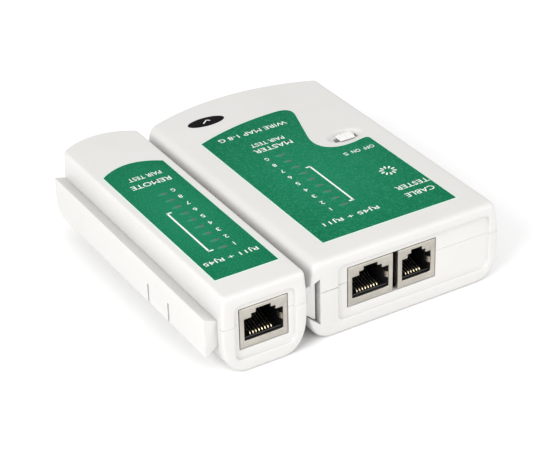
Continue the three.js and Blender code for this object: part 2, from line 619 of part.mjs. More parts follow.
// the lower shell's side walls stand higher than its ends, up to the root of the rails
const cheekTop = RAIL.rootHigh;
const remoteLower = below(PARTING - SEAM / 2)
  .add(box(-30, -REMOTE.belly + WALL + 0.2, RAIL.front, RAIL.rear, 0, cheekTop))
  .add(box(REMOTE.belly - WALL - 0.2, 30, RAIL.front, RAIL.rear, 0, cheekTop));
const aboveCheek = [RAIL.front - SEAM, RAIL.rear + SEAM, 0, cheekTop + SEAM];
const remoteUpper = above(PARTING + SEAM / 2)
  .subtract(box(-30, -REMOTE.belly + WALL + 0.4, ...aboveCheek))
  .subtract(box(REMOTE.belly - WALL - 0.4, 30, ...aboveCheek));

const remoteBottom = remoteWall.intersect(remoteLower).add(bothRails.subtract(remoteInner))
  .add(lowerBosses(remoteScrews))
  .add(boardPosts(remotePosts, 1, BOARD.low - GAP))
  .subtract(screwHoles(remoteScrews));
place(remote, 'remote_bottom_shell', remoteBottom, CASE);

const remoteRoof = REMOTE.height - ROOF + 0.5;
const remoteLedFirst = -31.0;
const remoteTop = remoteWall.intersect(remoteUpper)
  .add(upperBosses(remoteScrews, remoteRoof))
  .add(boardPosts(remotePosts, BOARD.high + GAP, remoteRoof))
  .subtract(alongZ(remoteLabelShape(-0.25), REMOTE.height - LABEL_SINK, 40))
  .subtract(ledHoles(0.1, remoteLedFirst))
  .subtract(shankHoles(remoteScrews));
place(remote, 'remote_top_shell', remoteTop, CASE);

const remoteLabelFloor = REMOTE.height - LABEL_SINK + 0.1;
place(remote, 'remote_label',
  alongZ(remoteLabelShape(0), remoteLabelFloor, remoteLabelFloor + LABEL_THICK), PRINT);
placeJack(remote, 'remote_rj45', RJ45, 0, remoteFace);
placeJack(remote, 'remote_rj11', RJ11, 0, remoteTail - 0.3, true);

const remoteBoard = alongZ(roundedRectangle(-10.6, 10.6, REMOTE.front + FRONT_WALL + 0.5, 46.5, 0.8),
  BOARD.low, BOARD.high, SMALL_ROUND);
place(remote, 'remote_board', remoteBoard.subtract(bossHoles(remoteScrews)), FIBRE);
for (let i = 0; i < 9; i += 1) {
  const mark = i === 8 ? 'g' : i + 1;
  place(remote, `remote_led_${mark}`, ledSolid(REMOTE.height - 0.7), LENS,
    0.1, remoteLedFirst + i * LED.pitch);
}
for (const i of [1, 2]) {
  place(remote, `diode_${i}`, axialSolid(0.9, 4.4), CHIP, -6 + i * 4, -14);
}
remoteScrews.forEach(([x, y], i) => {
  place(remote, `remote_screw_${i + 1}`, screwSolid(x, y), STEEL);
});

export default tester;
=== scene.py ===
# %% [markdown]
# # A network cable tester
# Two moulded units lie side by side: a wide main unit, with two jacks, a column of lamps and a
# slide switch, and a narrow far-end unit that docks on the wide one's left side by a dovetail.
# The frame that is loaded first holds every piece at its real size and place. This file makes
# the surfaces that the eye sees and gives every piece its finish. Shapes are worked out in
# millimetres and become metres when a mesh is made.

# %% Load the frame
import json
import math
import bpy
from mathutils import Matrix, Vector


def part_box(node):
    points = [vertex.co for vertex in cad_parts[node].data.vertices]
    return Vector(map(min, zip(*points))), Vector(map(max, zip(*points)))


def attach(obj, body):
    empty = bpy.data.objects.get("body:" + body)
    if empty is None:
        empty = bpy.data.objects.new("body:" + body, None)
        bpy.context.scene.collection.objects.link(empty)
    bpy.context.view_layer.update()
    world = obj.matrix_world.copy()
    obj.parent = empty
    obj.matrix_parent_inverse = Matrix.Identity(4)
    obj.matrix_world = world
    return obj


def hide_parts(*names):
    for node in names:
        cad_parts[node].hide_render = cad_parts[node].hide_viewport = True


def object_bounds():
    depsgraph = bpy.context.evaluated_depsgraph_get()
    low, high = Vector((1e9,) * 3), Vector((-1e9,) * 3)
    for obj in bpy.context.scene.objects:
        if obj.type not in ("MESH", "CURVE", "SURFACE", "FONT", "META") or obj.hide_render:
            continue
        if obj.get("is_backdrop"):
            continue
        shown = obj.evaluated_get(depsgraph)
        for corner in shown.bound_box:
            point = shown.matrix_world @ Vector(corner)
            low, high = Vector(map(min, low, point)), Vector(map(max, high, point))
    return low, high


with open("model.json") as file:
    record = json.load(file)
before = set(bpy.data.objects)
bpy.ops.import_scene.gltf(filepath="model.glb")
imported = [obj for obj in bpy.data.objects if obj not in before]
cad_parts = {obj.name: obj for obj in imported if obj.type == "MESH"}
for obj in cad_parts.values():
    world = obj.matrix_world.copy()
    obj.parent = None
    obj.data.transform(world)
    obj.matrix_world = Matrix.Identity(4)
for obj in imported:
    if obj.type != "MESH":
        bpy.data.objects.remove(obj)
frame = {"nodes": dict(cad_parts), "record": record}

import types

import bmesh
import bpy
import numpy as np
from mathutils import Matrix, Vector

MM = 0.001
cad_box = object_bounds()


def span(*nodes):
    """Lowest and highest corner of several frame pieces together, in millimetres."""
    corners = np.array([[list(c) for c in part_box(n)] for n in nodes]) / MM
    return corners[:, 0].min(0), corners[:, 1].max(0)


def show(name, data):
    """An object in the scene that holds data: a mesh, a lamp, a camera or a text."""
    made = bpy.data.objects.new(name, data)
    bpy.context.scene.collection.objects.link(made)
    return made


# %% [markdown]
# ## Camera and light
# A small box like this is usually shown from above one corner with a long lens, so that its
# edges stay almost parallel. The lens, the distance and a slight roll of the camera are set by
# three unit vectors: to the right, up, and back towards the camera.

# %% The camera
AZIMUTH, ELEVATION, ROLL = math.radians(-30.431), math.radians(30.839), math.radians(-1.517)
TARGET = Vector((-0.234, -6.418, 12.0))
DISTANCE = 562.742
LENS = 116.70

back = Vector((math.sin(AZIMUTH) * math.cos(ELEVATION),
               -math.cos(AZIMUTH) * math.cos(ELEVATION), math.sin(ELEVATION)))
right = Vector((math.cos(AZIMUTH), math.sin(AZIMUTH), 0))
up = back.cross(right)
rolled_right = right * math.cos(ROLL) + up * math.sin(ROLL)
rolled_up = up * math.cos(ROLL) - right * math.sin(ROLL)

lens = bpy.data.cameras.new("long_lens")
lens.lens = LENS
lens.sensor_width = 36
lens.clip_start, lens.clip_end = 0.01, 20
camera = show("camera", lens)
turn = Matrix((rolled_right, rolled_up, back)).transposed().to_4x4()
camera.matrix_world = Matrix.Translation((TARGET + back * DISTANCE) * MM) @ turn
bpy.context.scene.camera = camera
print("camera at", [round(v, 4) for v in camera.location])

# %% [markdown]
# The light is that of a white studio: a bright surround, a wide soft lamp on the left that
# brightens the left-hand sides, a weaker one in front and a faint one above. Colours are shown
# as they are, without a film curve, so that the white plastic stays white and the green strong.


# %% Lamps and surround
def soft_lamp(name, place, aim, width, watts):
    """A square area lamp at place, pointing at aim (both in mm)."""
    data = bpy.data.lights.new(name, "AREA")
    data.size = width * MM
    data.energy = watts
    lamp = show(name, data)
    lamp.location = Vector(place) * MM
    lamp.rotation_mode = "QUATERNION"
    lamp.rotation_quaternion = (Vector(aim) - Vector(place)).to_track_quat("-Z", "Y")


soft_lamp("left_lamp", (-620, -260, 420), (0, 0, 10), 420, 4.0)
soft_lamp("top_lamp", (60, -120, 760), (0, 0, 10), 520, 0.2)
soft_lamp("front_lamp", (260, -700, 260), (10, 0, 10), 420, 1.8)

surround = bpy.data.worlds.new("white_studio")
surround.use_nodes = True
surround.node_tree.nodes["Background"].inputs["Color"].default_value = (1, 1, 1, 1)
surround.node_tree.nodes["Background"].inputs["Strength"].default_value = 0.95
bpy.context.scene.world = surround
bpy.context.scene.view_settings.view_transform = "Standard"

# %% [markdown]
# ## Finishes
# Every finish starts from one recipe. A large, faint noise shifts the colour between two near
# shades, as pigment does in a moulding. A fine noise roughens the surface and drives the bump,
# as the eroded steel of a mould does. What changes from finish to finish is the grain's size,
# how glossy it is, and whether it is metal. Patterns read Object coordinates, so they stay put
# on a piece wherever it moves.


# %% The common recipe
def add(tree, kind, **values):
    """A node with its properties and its numbered or named inputs set."""
    made = tree.nodes.new(kind)
    for key, value in values.items():
        if hasattr(made, key):
            setattr(made, key, value)
        else:
            made.inputs[key.replace("_", " ")].default_value = value
    return made


def moulded(name, light, dark, roughness, grain=2200.0, bump=0.02, cloud=60.0, spread=0.06,
            **sockets):
    """A finish: two near colours mixed by a broad noise, and a fine grain that moves the
    roughness by +-spread and raises the surface by bump (in mm)."""
    finish = bpy.data.materials.new(name)
    finish.use_nodes = True
    tree = finish.node_tree
    shader = tree.nodes["Principled BSDF"]
    place = add(tree, "ShaderNodeTexCoord")
    broad = add(tree, "ShaderNodeTexNoise", Scale=cloud, Detail=4.0, Roughness=0.6)
    fine = add(tree, "ShaderNodeTexNoise", Scale=grain, Detail=3.0, Roughness=0.55)
    colours = add(tree, "ShaderNodeMix", data_type="RGBA", A=(*dark, 1), B=(*light, 1))
    steer = add(tree, "ShaderNodeMapRange", From_Min=0.3, From_Max=0.7)
    gloss = add(tree, "ShaderNodeMapRange", To_Min=max(0.02, roughness - spread),
                To_Max=min(1.0, roughness + spread))
    relief = add(tree, "ShaderNodeBump", Strength=0.6, Distance=bump * MM)
    link = tree.links.new
    link(place.outputs["Object"], broad.inputs["Vector"])
    link(place.outputs["Object"], fine.inputs["Vector"])
    link(broad.outputs["Fac"], steer.inputs["Value"])
    link(steer.outputs["Result"], colours.inputs["Factor"])
    link(colours.outputs["Result"], shader.inputs["Base Color"])
    link(fine.outputs["Fac"], gloss.inputs["Value"])
    link(gloss.outputs["Result"], shader.inputs["Roughness"])
    link(fine.outputs["Fac"], relief.inputs["Height"])
    link(relief.outputs["Normal"], shader.inputs["Normal"])
    for socket, value in sockets.items():
        shader.inputs[socket.replace("_", " ")].default_value = value
    finish["colours"] = colours.name
    return finish


def ends(finish):
    """Where a finish can be added to: its Object coordinates, its mixed colour, and the
    shader's base colour."""
    tree = finish.node_tree
    place = next(n for n in tree.nodes if n.type == "TEX_COORD")
    return (place.outputs["Object"], tree.nodes[finish["colours"]].outputs["Result"],
            tree.nodes["Principled BSDF"].inputs["Base Color"])


# %% [markdown]
# The case is off-white ABS with a fine satin grain. The knob is whiter and smoother. The jacks'
# cans are nickel-plated sheet, their inserts black and a little glossy, and the contacts are
# flashed with gold. The label's print is a matt white ink behind a clear film.

# %% The plain finishes
ABS = moulded("case_abs", (0.59, 0.582, 0.565), (0.57, 0.562, 0.545), 0.42, grain=2600,
              bump=0.012, cloud=45, Specular_IOR_Level=0.45)
KNOB = moulded("knob_acetal", (0.72, 0.71, 0.69), (0.68, 0.67, 0.645), 0.34, grain=1500,
               bump=0.01, cloud=300)
NICKEL = moulded("nickel_sheet", (0.52, 0.49, 0.44), (0.43, 0.405, 0.36), 0.33, grain=900,
                 bump=0.02, cloud=160, spread=0.1, Metallic=1.0)
INSERT = moulded("black_insert", (0.012, 0.012, 0.013), (0.005, 0.005, 0.006), 0.38,
                 grain=1800, bump=0.015)
GOLD = moulded("gold_wire", (1.0, 0.9, 0.68), (0.95, 0.82, 0.55), 0.34, grain=1200, bump=0.004,
               cloud=400, Metallic=1.0)
INK = moulded("white_ink", (0.76, 0.79, 0.75), (0.66, 0.71, 0.66), 0.5, grain=3000, bump=0.006,
              cloud=900)
FILM_EDGE = moulded("clear_film_edge", (0.62, 0.74, 0.66), (0.5, 0.66, 0.57), 0.3, grain=1400,
                    bump=0.006, cloud=200)
STICKER = moulded("black_film", (0.006, 0.006, 0.007), (0.003, 0.003, 0.003), 0.3, grain=1000,
                  bump=0.006, Specular_IOR_Level=0.01)
FIBRE = moulded("green_solder_mask", (0.03, 0.2, 0.07), (0.015, 0.12, 0.04), 0.3, grain=1400,
                bump=0.02, cloud=240, Coat_Weight=0.4)
EPOXY = moulded("black_epoxy", (0.03, 0.03, 0.032), (0.018, 0.018, 0.02), 0.6, grain=2400)
LENS_TINT = moulded("milky_epoxy_lens", (0.68, 0.8, 0.64), (0.55, 0.7, 0.52), 0.12, grain=600,
                    bump=0.004, Transmission_Weight=0.4)
POWER_TINT = moulded("red_epoxy_lens", (0.6, 0.06, 0.04), (0.45, 0.03, 0.02), 0.12, grain=600,
                     bump=0.004, Transmission_Weight=0.3)
ZINC = moulded("zinc_plate", (0.66, 0.67, 0.69), (0.5, 0.51, 0.54), 0.32, grain=700, bump=0.015,
               cloud=300, spread=0.12, Metallic=1.0)
JACKET = moulded("printed_metal_jacket", (0.05, 0.055, 0.07), (0.03, 0.033, 0.045), 0.3,
                 grain=500, bump=0.01, Metallic=0.4)
CERAMIC = moulded("tan_lacquer", (0.6, 0.46, 0.27), (0.5, 0.37, 0.2), 0.45, grain=900, bump=0.03)
RED_PVC = moulded("red_insulation", (0.6, 0.04, 0.03), (0.45, 0.025, 0.02), 0.45, bump=0.02)
BLACK_PVC = moulded("black_insulation", (0.025, 0.025, 0.027), (0.015, 0.015, 0.016), 0.45)
print("finishes:", len(bpy.data.materials))

# %% [markdown]
# ## The printed green film
# The film is green ink behind a textured clear sheet. Close to, it shows fine pale specks.
# The green is painted lighter in the middle than towards the label's edges: a painted sheen
# that stands in for the clear sheet's glare. A spherical gradient on shifted Object
# coordinates makes this painted sheen, and a fine noise against a threshold makes the specks.


# %% Green film
def green_film_painted_sheen(name, centre, reach):
    """Deep green, painted lighter within reach (mm) of the centre as sheen, with fine pale specks.
    """
    finish = moulded(name, (0.002, 0.135, 0.056), (0.0005, 0.105, 0.042), 0.45, grain=1500,
                     bump=0.03, cloud=420, Specular_IOR_Level=0.015)
    tree = finish.node_tree
    link = tree.links.new
    place, mixed, base_colour = ends(finish)
    shift = add(tree, "ShaderNodeMapping", vector_type="TEXTURE", Location=Vector(centre) * MM,
                Scale=Vector(reach) * MM)
    # painted sheen: the gradient mixes a lighter green round the label's middle, in place of the
    # clear sheet's glare
    sphere = add(tree, "ShaderNodeTexGradient", gradient_type="SPHERICAL")
    middle = add(tree, "ShaderNodeMix", data_type="RGBA", B=(0.01, 0.185, 0.093, 1))
    painted_sheen_fade = add(tree, "ShaderNodeMapRange", interpolation_type="SMOOTHSTEP", To_Max=0.7)
    specks = add(tree, "ShaderNodeTexNoise", Scale=1900.0, Detail=1.0)
    cut = add(tree, "ShaderNodeMapRange", From_Min=0.5, From_Max=0.72, To_Max=0.45)
    pale = add(tree, "ShaderNodeMix", data_type="RGBA", B=(0.05, 0.25, 0.15, 1))
    link(place, shift.inputs["Vector"])
    link(shift.outputs["Vector"], sphere.inputs["Vector"])
    link(sphere.outputs["Fac"], painted_sheen_fade.inputs["Value"])
    link(painted_sheen_fade.outputs["Result"], middle.inputs["Factor"])
    link(mixed, middle.inputs["A"])
    link(place, specks.inputs["Vector"])
    link(specks.outputs["Fac"], cut.inputs["Value"])
    link(cut.outputs["Result"], pale.inputs["Factor"])
    link(middle.outputs["Result"], pale.inputs["A"])
    link(pale.outputs["Result"], base_colour)
    return finish


# %% [markdown]
# ## From arrays to meshes
# A surface here is a grid of points: rows along one direction and columns along the other.
# `surface` turns grids into one mesh, merges the points that neighbours share, and turns the
# faces outwards. `modify` fixes a modifier into the mesh. `bezier` and `track` draw outlines: a
# leg with one control point is a parabola, one with two is a cubic, one with none is straight.


# %% Mesh helpers
def bezier(corners, t):
    """Points at t on the Bezier curve of these corners: the sum of the corners, each weighted
    by its Bernstein polynomial."""
    n = len(corners) - 1
    t = np.asarray(t, float)[:, None]
    return sum(math.comb(n, k) * (1 - t) ** (n - k) * t ** k * np.asarray(corners[k], float)
               for k in range(n + 1))


def track(start, *legs):
    """An outline through named corners. A leg is (stops, control points..., end); stops is how
    many equal steps it takes, or the fractions at which it has points."""
    points, here = [np.array([start], float)], start
    for stops, *corners in legs:
        t = np.linspace(0, 1, stops + 1)[1:] if np.isscalar(stops) else stops
        points.append(bezier([here, *corners], t))
        here = corners[-1]
    return np.concatenate(points)


def quads(rows, cols, around=False):
    """Corner numbers of a grid's faces; around joins the last column to the first."""
    i = np.arange(rows - 1)[:, None]
    j = np.arange(cols if around else cols - 1)[None, :]
    k = (j + 1) % cols
    return np.stack([i * cols + j, i * cols + k, (i + 1) * cols + k, (i + 1) * cols + j],
                    -1).reshape(-1, 4)


def surface(name, grids, around=False, leave_out=None, merge=0.002):
    """One mesh object from grids of points in mm, shaped (rows, columns, 3). leave_out is a
    test on the faces' middles that says which faces to drop."""
    points, faces, start = [], [], 0
    for g in grids:
        rows, cols = g.shape[:2]
        flat = g.reshape(-1, 3)
        f = quads(rows, cols, around)
        if leave_out is not None:
            f = f[~leave_out(*flat[f].mean(1).T)]
        points.append(flat)
        faces.append(f + start)
        start += len(flat)
    mesh = bpy.data.meshes.new(name)
    mesh.from_pydata(np.concatenate(points) * MM, [], np.concatenate(faces).tolist())
    work = bmesh.new()
    work.from_mesh(mesh)
    bmesh.ops.remove_doubles(work, verts=work.verts, dist=merge * MM)
    bmesh.ops.dissolve_degenerate(work, edges=work.edges, dist=0.0005 * MM)
    bmesh.ops.delete(work, geom=[v for v in work.verts if not v.link_faces], context="VERTS")
    bmesh.ops.recalc_face_normals(work, faces=work.faces)
    work.to_mesh(mesh)
    work.free()
    return show(name, mesh)


def modify(made, kind, **values):
    """Adds a modifier and fixes it into the mesh."""
    step = made.modifiers.new(kind.lower(), kind)
    for key, value in values.items():
        setattr(step, key, value)
    seen = made.evaluated_get(bpy.context.evaluated_depsgraph_get())
    mesh = bpy.data.meshes.new_from_object(seen)
    made.modifiers.clear()
    made.data = mesh
    return made


def soften(made, width, angle=40, segments=2):
    """Rounds the edges that turn more than angle degrees, by width mm."""
    return modify(made, "BEVEL", width=width * MM, segments=segments, limit_method="ANGLE",
                  angle_limit=math.radians(angle), harden_normals=False)


def thicken(made, wall, thin=None):
    """Gives an open surface its wall, inwards. thin is a test on x, y, z (mm) that says where
    the wall is a mere skin, so that it doesn't break out through a sharp wedge."""
    values = dict(thickness=wall * MM, offset=-1.0)
    if thin is not None:
        points = np.array([v.co[:] for v in made.data.vertices]) / MM
        full = made.vertex_groups.new(name="full_wall")
        full.add(np.flatnonzero(~thin(*points.T)).tolist(), 1.0, "REPLACE")
        values.update(vertex_group=full.name, thickness_vertex_group=0.06)
    modify(made, "SOLIDIFY", **values)
    made.vertex_groups.clear()
    return made


def cut_away(made, cutter):
    """Takes another object's volume out of made, and removes that object."""
    modify(made, "BOOLEAN", object=cutter, operation="DIFFERENCE", solver="EXACT")
    bpy.data.objects.remove(cutter)


def combine(made, *others):
    """Adds other objects' meshes to made's, and removes them."""
    work = bmesh.new()
    for o in (made, *others):
        work.from_mesh(o.data)
    work.to_mesh(made.data)
    work.free()
    for o in others:
        bpy.data.objects.remove(o)
    return made


def settle(made, body, slot, materials, *nodes, sharp=32):
    """Finishes a piece: smooth shading up to the sharp angle, its finish, the body that it
    rides on, and the frame pieces that it stands for. slot is not used."""
    made.data.polygons.foreach_set("use_smooth", np.ones(len(made.data.polygons), bool))
    made.data.set_sharp_from_angle(angle=math.radians(sharp))
    made.data.materials.clear()
    for m in materials if isinstance(materials, (list, tuple)) else [materials]:
        made.data.materials.append(m)
    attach(made, body)
    if nodes:
        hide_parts(*nodes)
    print(f"{made.name}: {len(made.data.polygons)} faces")
    return made


# %% [markdown]
# ## The two cases
# Both units share one form. The cross-section is flat below, turns up in long soft lower
# corners, bulges slightly at the belly and leans in to the rounded top edges. In plan the
# front and the sides are straight, and the rear is one arc. Each shell is one grid: a column
# runs from the edge of the jack window, out over the sunk panel and its lip, across the front
# face, round the nose, along the case and down the rear face. A row is half of the section,
# from the line where the shells meet on the left to the same line on the right.

# %% Case sizes, from the frame
SEAM = 0.07           # the open line between the shells
CHAMFER = 0.1         # the small break of the shells' edges along that line
PANEL_DEPTH = 1.0     # how far the panel round the jacks is sunk
LIP = 0.5             # radius of the soft lip round that panel
PARTING = 16.4
FILM = 0.12           # how far a label stands proud


def case(top_node, bottom_node, **shape):
    """A unit's sizes: what the frame says, and the curves' own numbers."""
    lo, hi = span(top_node, bottom_node)
    sizes = dict(x=(lo[0] + hi[0]) / 2, front=lo[1], rear=hi[1], height=hi[2], **shape)
    return types.SimpleNamespace(**sizes)


MASTER = case("master_top_shell", "master_bottom_shell", top=32.7, belly=35.0, corner=48.0,
              edges=(3.0, 1.6), nose=1.8, tail=0.7, panel=(-23.9, 31.0), window=(-20.4, 11.6),
              notched=True, wall=1.4)
REMOTE = case("remote_top_shell", "remote_bottom_shell", top=13.35, belly=14.5, corner=48.8,
              edges=(0.9, 0.9), nose=1.6, tail=0.9, panel=(-9.9, 10.2), window=(-8.3, 8.3),
              notched=False, wall=1.4)
REMOTE.height -= FILM + 0.1     # room for the film and its windows
FOOT_HIGH, FOOT_IN = 9.2, 0.55  # where the lower corner ends and the side begins
CORNER_WIDE = 8.5     # how far the lower corners reach in under a case
PANEL_EDGE, PANEL_ROUND = {"upper": 23.0, "lower": 4.4}, 2.6
WINDOW_EDGE, WINDOW_ROUND, WINDOW_DEEP = {"upper": 21.25, "lower": 7.25}, 0.3, 1.9
RAIL_REACH = 18.5     # from the narrow unit's middle line to its rail's outer face
RAIL_SETBACK = 2.5    # from the narrow unit's nose to its rails' front ends
CHEEK = 18.5          # how high the narrow unit's lower shell stands between its ends
BAY_FRONT, BAY_HALF, BAY_HIGH = -4.7, 13.8, 2.7
for unit in (MASTER, REMOTE):
    print(f"case: middle x {unit.x:.2f}, y {unit.front:.1f} to {unit.rear:.1f}, "
          f"height {unit.height:.2f} mm")

# %% [markdown]
# The side of a case is a shallow curve, and the rear is a circle through both rear corners and
# the rear middle. The wide unit's left side has a dovetail channel: its back wall is upright,
# and its roof and floor slope outwards so that they hold the rail.


# %% Outlines of a case
def side(c, edge, z):
    """Half width at height z, on a parabola from the lower corner to the rounded top edge."""
    curve = bezier([(c.belly - FOOT_IN, FOOT_HIGH), (c.belly + 0.2, 16),
                    (c.top + 0.1 + edge * 0.12, c.height - edge)], np.linspace(0, 1, 60))
    return np.interp(z, curve[:, 1], curve[:, 0])


def flank(c, edge, z, sign=1):
    """Points (x, z) of a side at heights z; sign is -1 on the left."""
    return np.stack([sign * side(c, edge, z), z], 1)


def rear_arc(c, x):
    """Y of the rear face at x: a circle of radius (half^2 + rise^2) / (2 rise)."""
    rise = c.rear - c.corner
    radius = (c.top ** 2 + rise ** 2) / (2 * rise)
    return c.rear - radius + np.sqrt(radius ** 2 - np.asarray(x) ** 2)


CHANNEL_BACK = REMOTE.x - MASTER.x + RAIL_REACH + 1.2
CHANNEL_ROOF, CHANNEL_FLOOR, CHANNEL_DEEP = 21.33, 5.54, 4.1
ROOF_SLOPE, FLOOR_SLOPE = 0.4, 0.844


def upper_flat(c):
    """Where a row of the top has points: on the wide unit they are close round the switch."""
    if c is MASTER:
        return np.concatenate([np.linspace(0, 0.66, 12), np.linspace(0.675, 0.93, 33),
                               [0.965, 1.0]])[1:]
    return np.linspace(0, 1, 13)[1:]


def upper_half(c, part, notched):
    """The section above the seam, left to right, as (x, z)."""
    left, right = c.edges
    low = part + SEAM / 2
    brow_left, brow_right = c.height - left, c.height - right
    if notched:
        mouth_z = CHANNEL_ROOF - CHANNEL_DEEP * ROOF_SLOPE
        mouth = (-side(c, left, mouth_z), mouth_z)
        start = track((CHANNEL_BACK + CHAMFER, low), (1, (CHANNEL_BACK, low + CHAMFER)),
                      (3, (CHANNEL_BACK, CHANNEL_ROOF)), (4, mouth))
        above = flank(c, left, np.linspace(mouth_z, brow_left, 4)[1:], -1)
        start = np.concatenate([start, above])
    else:
        wall = flank(c, left, np.linspace(low + CHAMFER, brow_left, 11), -1)
        start = np.concatenate([[(wall[0, 0] + CHAMFER, low)], wall])
    crown = track(start[-1], (8, (-c.top, c.height), (left - c.top, c.height)),
                  (upper_flat(c), (c.top - right, c.height)),
                  (6, (c.top, c.height), (side(c, right, brow_right), brow_right)))
    wall = flank(c, right, np.linspace(brow_right, low + CHAMFER, 6)[1:])
    return np.concatenate([start, crown[1:], wall, [(wall[-1, 0] - CHAMFER, low)]])


def lower_flat(c):
    """Where a row of the underside has points: the battery door's edges are among them."""
    reach = c.belly - CORNER_WIDE
    if c is MASTER:
        x = np.concatenate([np.linspace(-reach, -BAY_HALF, 5),
                            np.linspace(-BAY_HALF, BAY_HALF, 9)[1:],
                            np.linspace(BAY_HALF, reach, 5)[1:]])
    else:
        x = np.linspace(-reach, reach, 9)
    return ((x + reach) / (2 * reach))[1:]


def lower_half(c, part, notched):
    """The section below the seam, left to right, as (x, z)."""
    left, right = c.edges
    high = part - SEAM / 2
    reach, foot = c.belly - CORNER_WIDE, (c.belly - FOOT_IN, FOOT_HIGH)
    if notched:
        mouth_x = -foot[0]
        mouth = (mouth_x, CHANNEL_FLOOR + (CHANNEL_BACK - mouth_x) * FLOOR_SLOPE)
        start = track((CHANNEL_BACK + CHAMFER, high), (1, (CHANNEL_BACK, high - CHAMFER)),
                      (4, (CHANNEL_BACK, CHANNEL_FLOOR)), (4, mouth))
    else:
        wall = flank(c, left, np.linspace(high - CHAMFER, FOOT_HIGH, 9), -1)
        start = np.concatenate([[(wall[0, 0] + CHAMFER, high)], wall])
    base = track(start[-1], (8, (1.25 - c.belly, 3.5), (4 - c.belly, 0), (-reach, 0)),
                 (lower_flat(c), (reach, 0)), (8, (c.belly - 4, 0), (c.belly - 1.25, 3.5), foot))
    wall = flank(c, right, np.linspace(FOOT_HIGH, high - CHAMFER, 6)[1:])
    return np.concatenate([start, base[1:], wall, [(wall[-1, 0] - CHAMFER, high)]])


def half_section(c, half, part, notched):
    """The upper or the lower half of the section."""
    return (upper_half if half == "upper" else lower_half)(c, part, notched)


# %% [markdown]
# Openings in the end faces are round-cornered rectangles. To be joined to the section they need
# the same number of points, so each is drawn with the same legs: up the left, round a corner,
# along, round a corner and down the right.


# %% Outlines of the openings
def framed(c, half, x0, x1, edge, r, part=PARTING, bend=None):
    """Half of a round-cornered rectangle from x0 to x1, whose top or bottom is at height edge,
    with as many points as that half of the section. bend gives the left side's heights."""
    if half == "upper":
        seam, inner, left_count, right_count = part + SEAM / 2, edge - r, 12, 6
        corner_a, corner_b, flat = 8, 6, upper_flat(c)
    else:
        seam, inner, left_count, right_count = part - SEAM / 2, edge + r, 10, 6
        corner_a, corner_b, flat = 8, 8, lower_flat(c)
    z = np.linspace(seam, inner, left_count) if bend is None else np.asarray(bend, float)
    start = np.stack([np.full(left_count, x0), z], 1)
    rest = track(start[-1], (corner_a, (x0, edge), (x0 + r, edge)), (flat, (x1 - r, edge)),
                 (corner_b, (x1, edge), (x1, inner)), (right_count, (x1, seam)))
    return np.concatenate([start, rest[1:]])


def pinched(c, ring, part, sides, top, bottom):
    """The section drawn in: x by sides, the top by top and the underside by bottom (mm)."""
    x = ring[:, 0] * (1 - sides / c.top)
    z = ring[:, 1]
    above = part + (z - part) * (c.height - top - part) / (c.height - part)
    below = part - (part - z) * (part - bottom) / part
    return np.stack([x, np.where(z > part, above, below)], 1)


# %% [markdown]
# Now the rows, front to rear. At the nose the section is drawn in along a parabola, more at the
# top than at the sides. Towards the rear each row bends a little more until it lies on the
# rear arc. The rear face itself is the last row gathered in to the seam, always on the arc.


# %% Rows of a case
def put(ring, y):
    """A ring in (x, z) set at y, which is one number or one for each point."""
    return np.column_stack([ring[:, 0], np.broadcast_to(y, len(ring)), ring[:, 1]])


def heights(*stretches):
    """Heights along several stretches, each given as (from, to, how many)."""
    return np.concatenate([np.linspace(*s) for s in stretches])


# Where the panel's lip and the ring on the front face have points beside the channel.
BESIDE_CHANNEL = {
    "upper": (heights((16.5, 20.2, 5), (20.3, 20.7, 4), (20.8, 21.0, 3)),
              heights((16.5, 21.9, 5), (22.0, 22.9, 4), (23.0, 23.3, 3))),
    "lower": (heights((16.3, 7.5, 6), (7.3, 6.4, 4)), heights((16.3, 4.4, 6), (4.1, 3.4, 4)))}
FACE_SIDES, FACE_EDGE, FACE_ROUND = (-29.2, 31.8), {"upper": 24.3, "lower": 3.0}, 1.8


def front_rows(c, half):
    """Window edge, sunk panel, lip, front face and nose."""
    section = half_section(c, half, PARTING, c.notched)
    last = 8 if half == "upper" else 9      # the channel's corner on the outer side
    floor = c.front + PANEL_DEPTH
    outward = 1 if half == "upper" else -1
    left_lip, left_mid = BESIDE_CHANNEL[half] if c.notched else (None, None)
    window = framed(c, half, *c.window, WINDOW_EDGE[half], WINDOW_ROUND)
    rows = [put(window, floor + WINDOW_DEEP), put(window, floor)]
    lips = [(-0.45, 0, floor), (-0.12, 0, floor - 0.06), (0, 0, floor - 0.3)]
    for a in np.radians([60, 30, 0]):
        grow = LIP * (1 - math.sin(a))
        lips.append((grow, grow, c.front + LIP * (1 - math.cos(a))))
    for grow, rounder, y in lips:
        ring = framed(c, half, c.panel[0] - grow, c.panel[1] + grow,
                      PANEL_EDGE[half] + outward * grow, PANEL_ROUND + rounder, bend=left_lip)
        rows.append(put(ring, y))
    if c.notched:
        middle = framed(c, half, *FACE_SIDES, FACE_EDGE[half], FACE_ROUND, bend=left_mid)
        rows.append(put(middle, c.front))
    for t in np.linspace(0, 1, 6):
        ring = pinched(c, section, PARTING, 0.6 * (1 - t) ** 2, c.nose * (1 - t) ** 2,
                       0.8 * (1 - t) ** 2)
        if c.notched:
            run, rise = np.subtract(section[last], section[last - 1])
            ring[:last] = section[:last]
            ring[last, 1] = ring[last - 1, 1] + (ring[last, 0] - ring[last - 1, 0]) * rise / run
        rows.append(put(ring, c.front + c.nose * t ** 2))
    return rows


REAR_START = 36.0
RAMP = 1.2            # the length over which a channel or a raised seam comes to its end


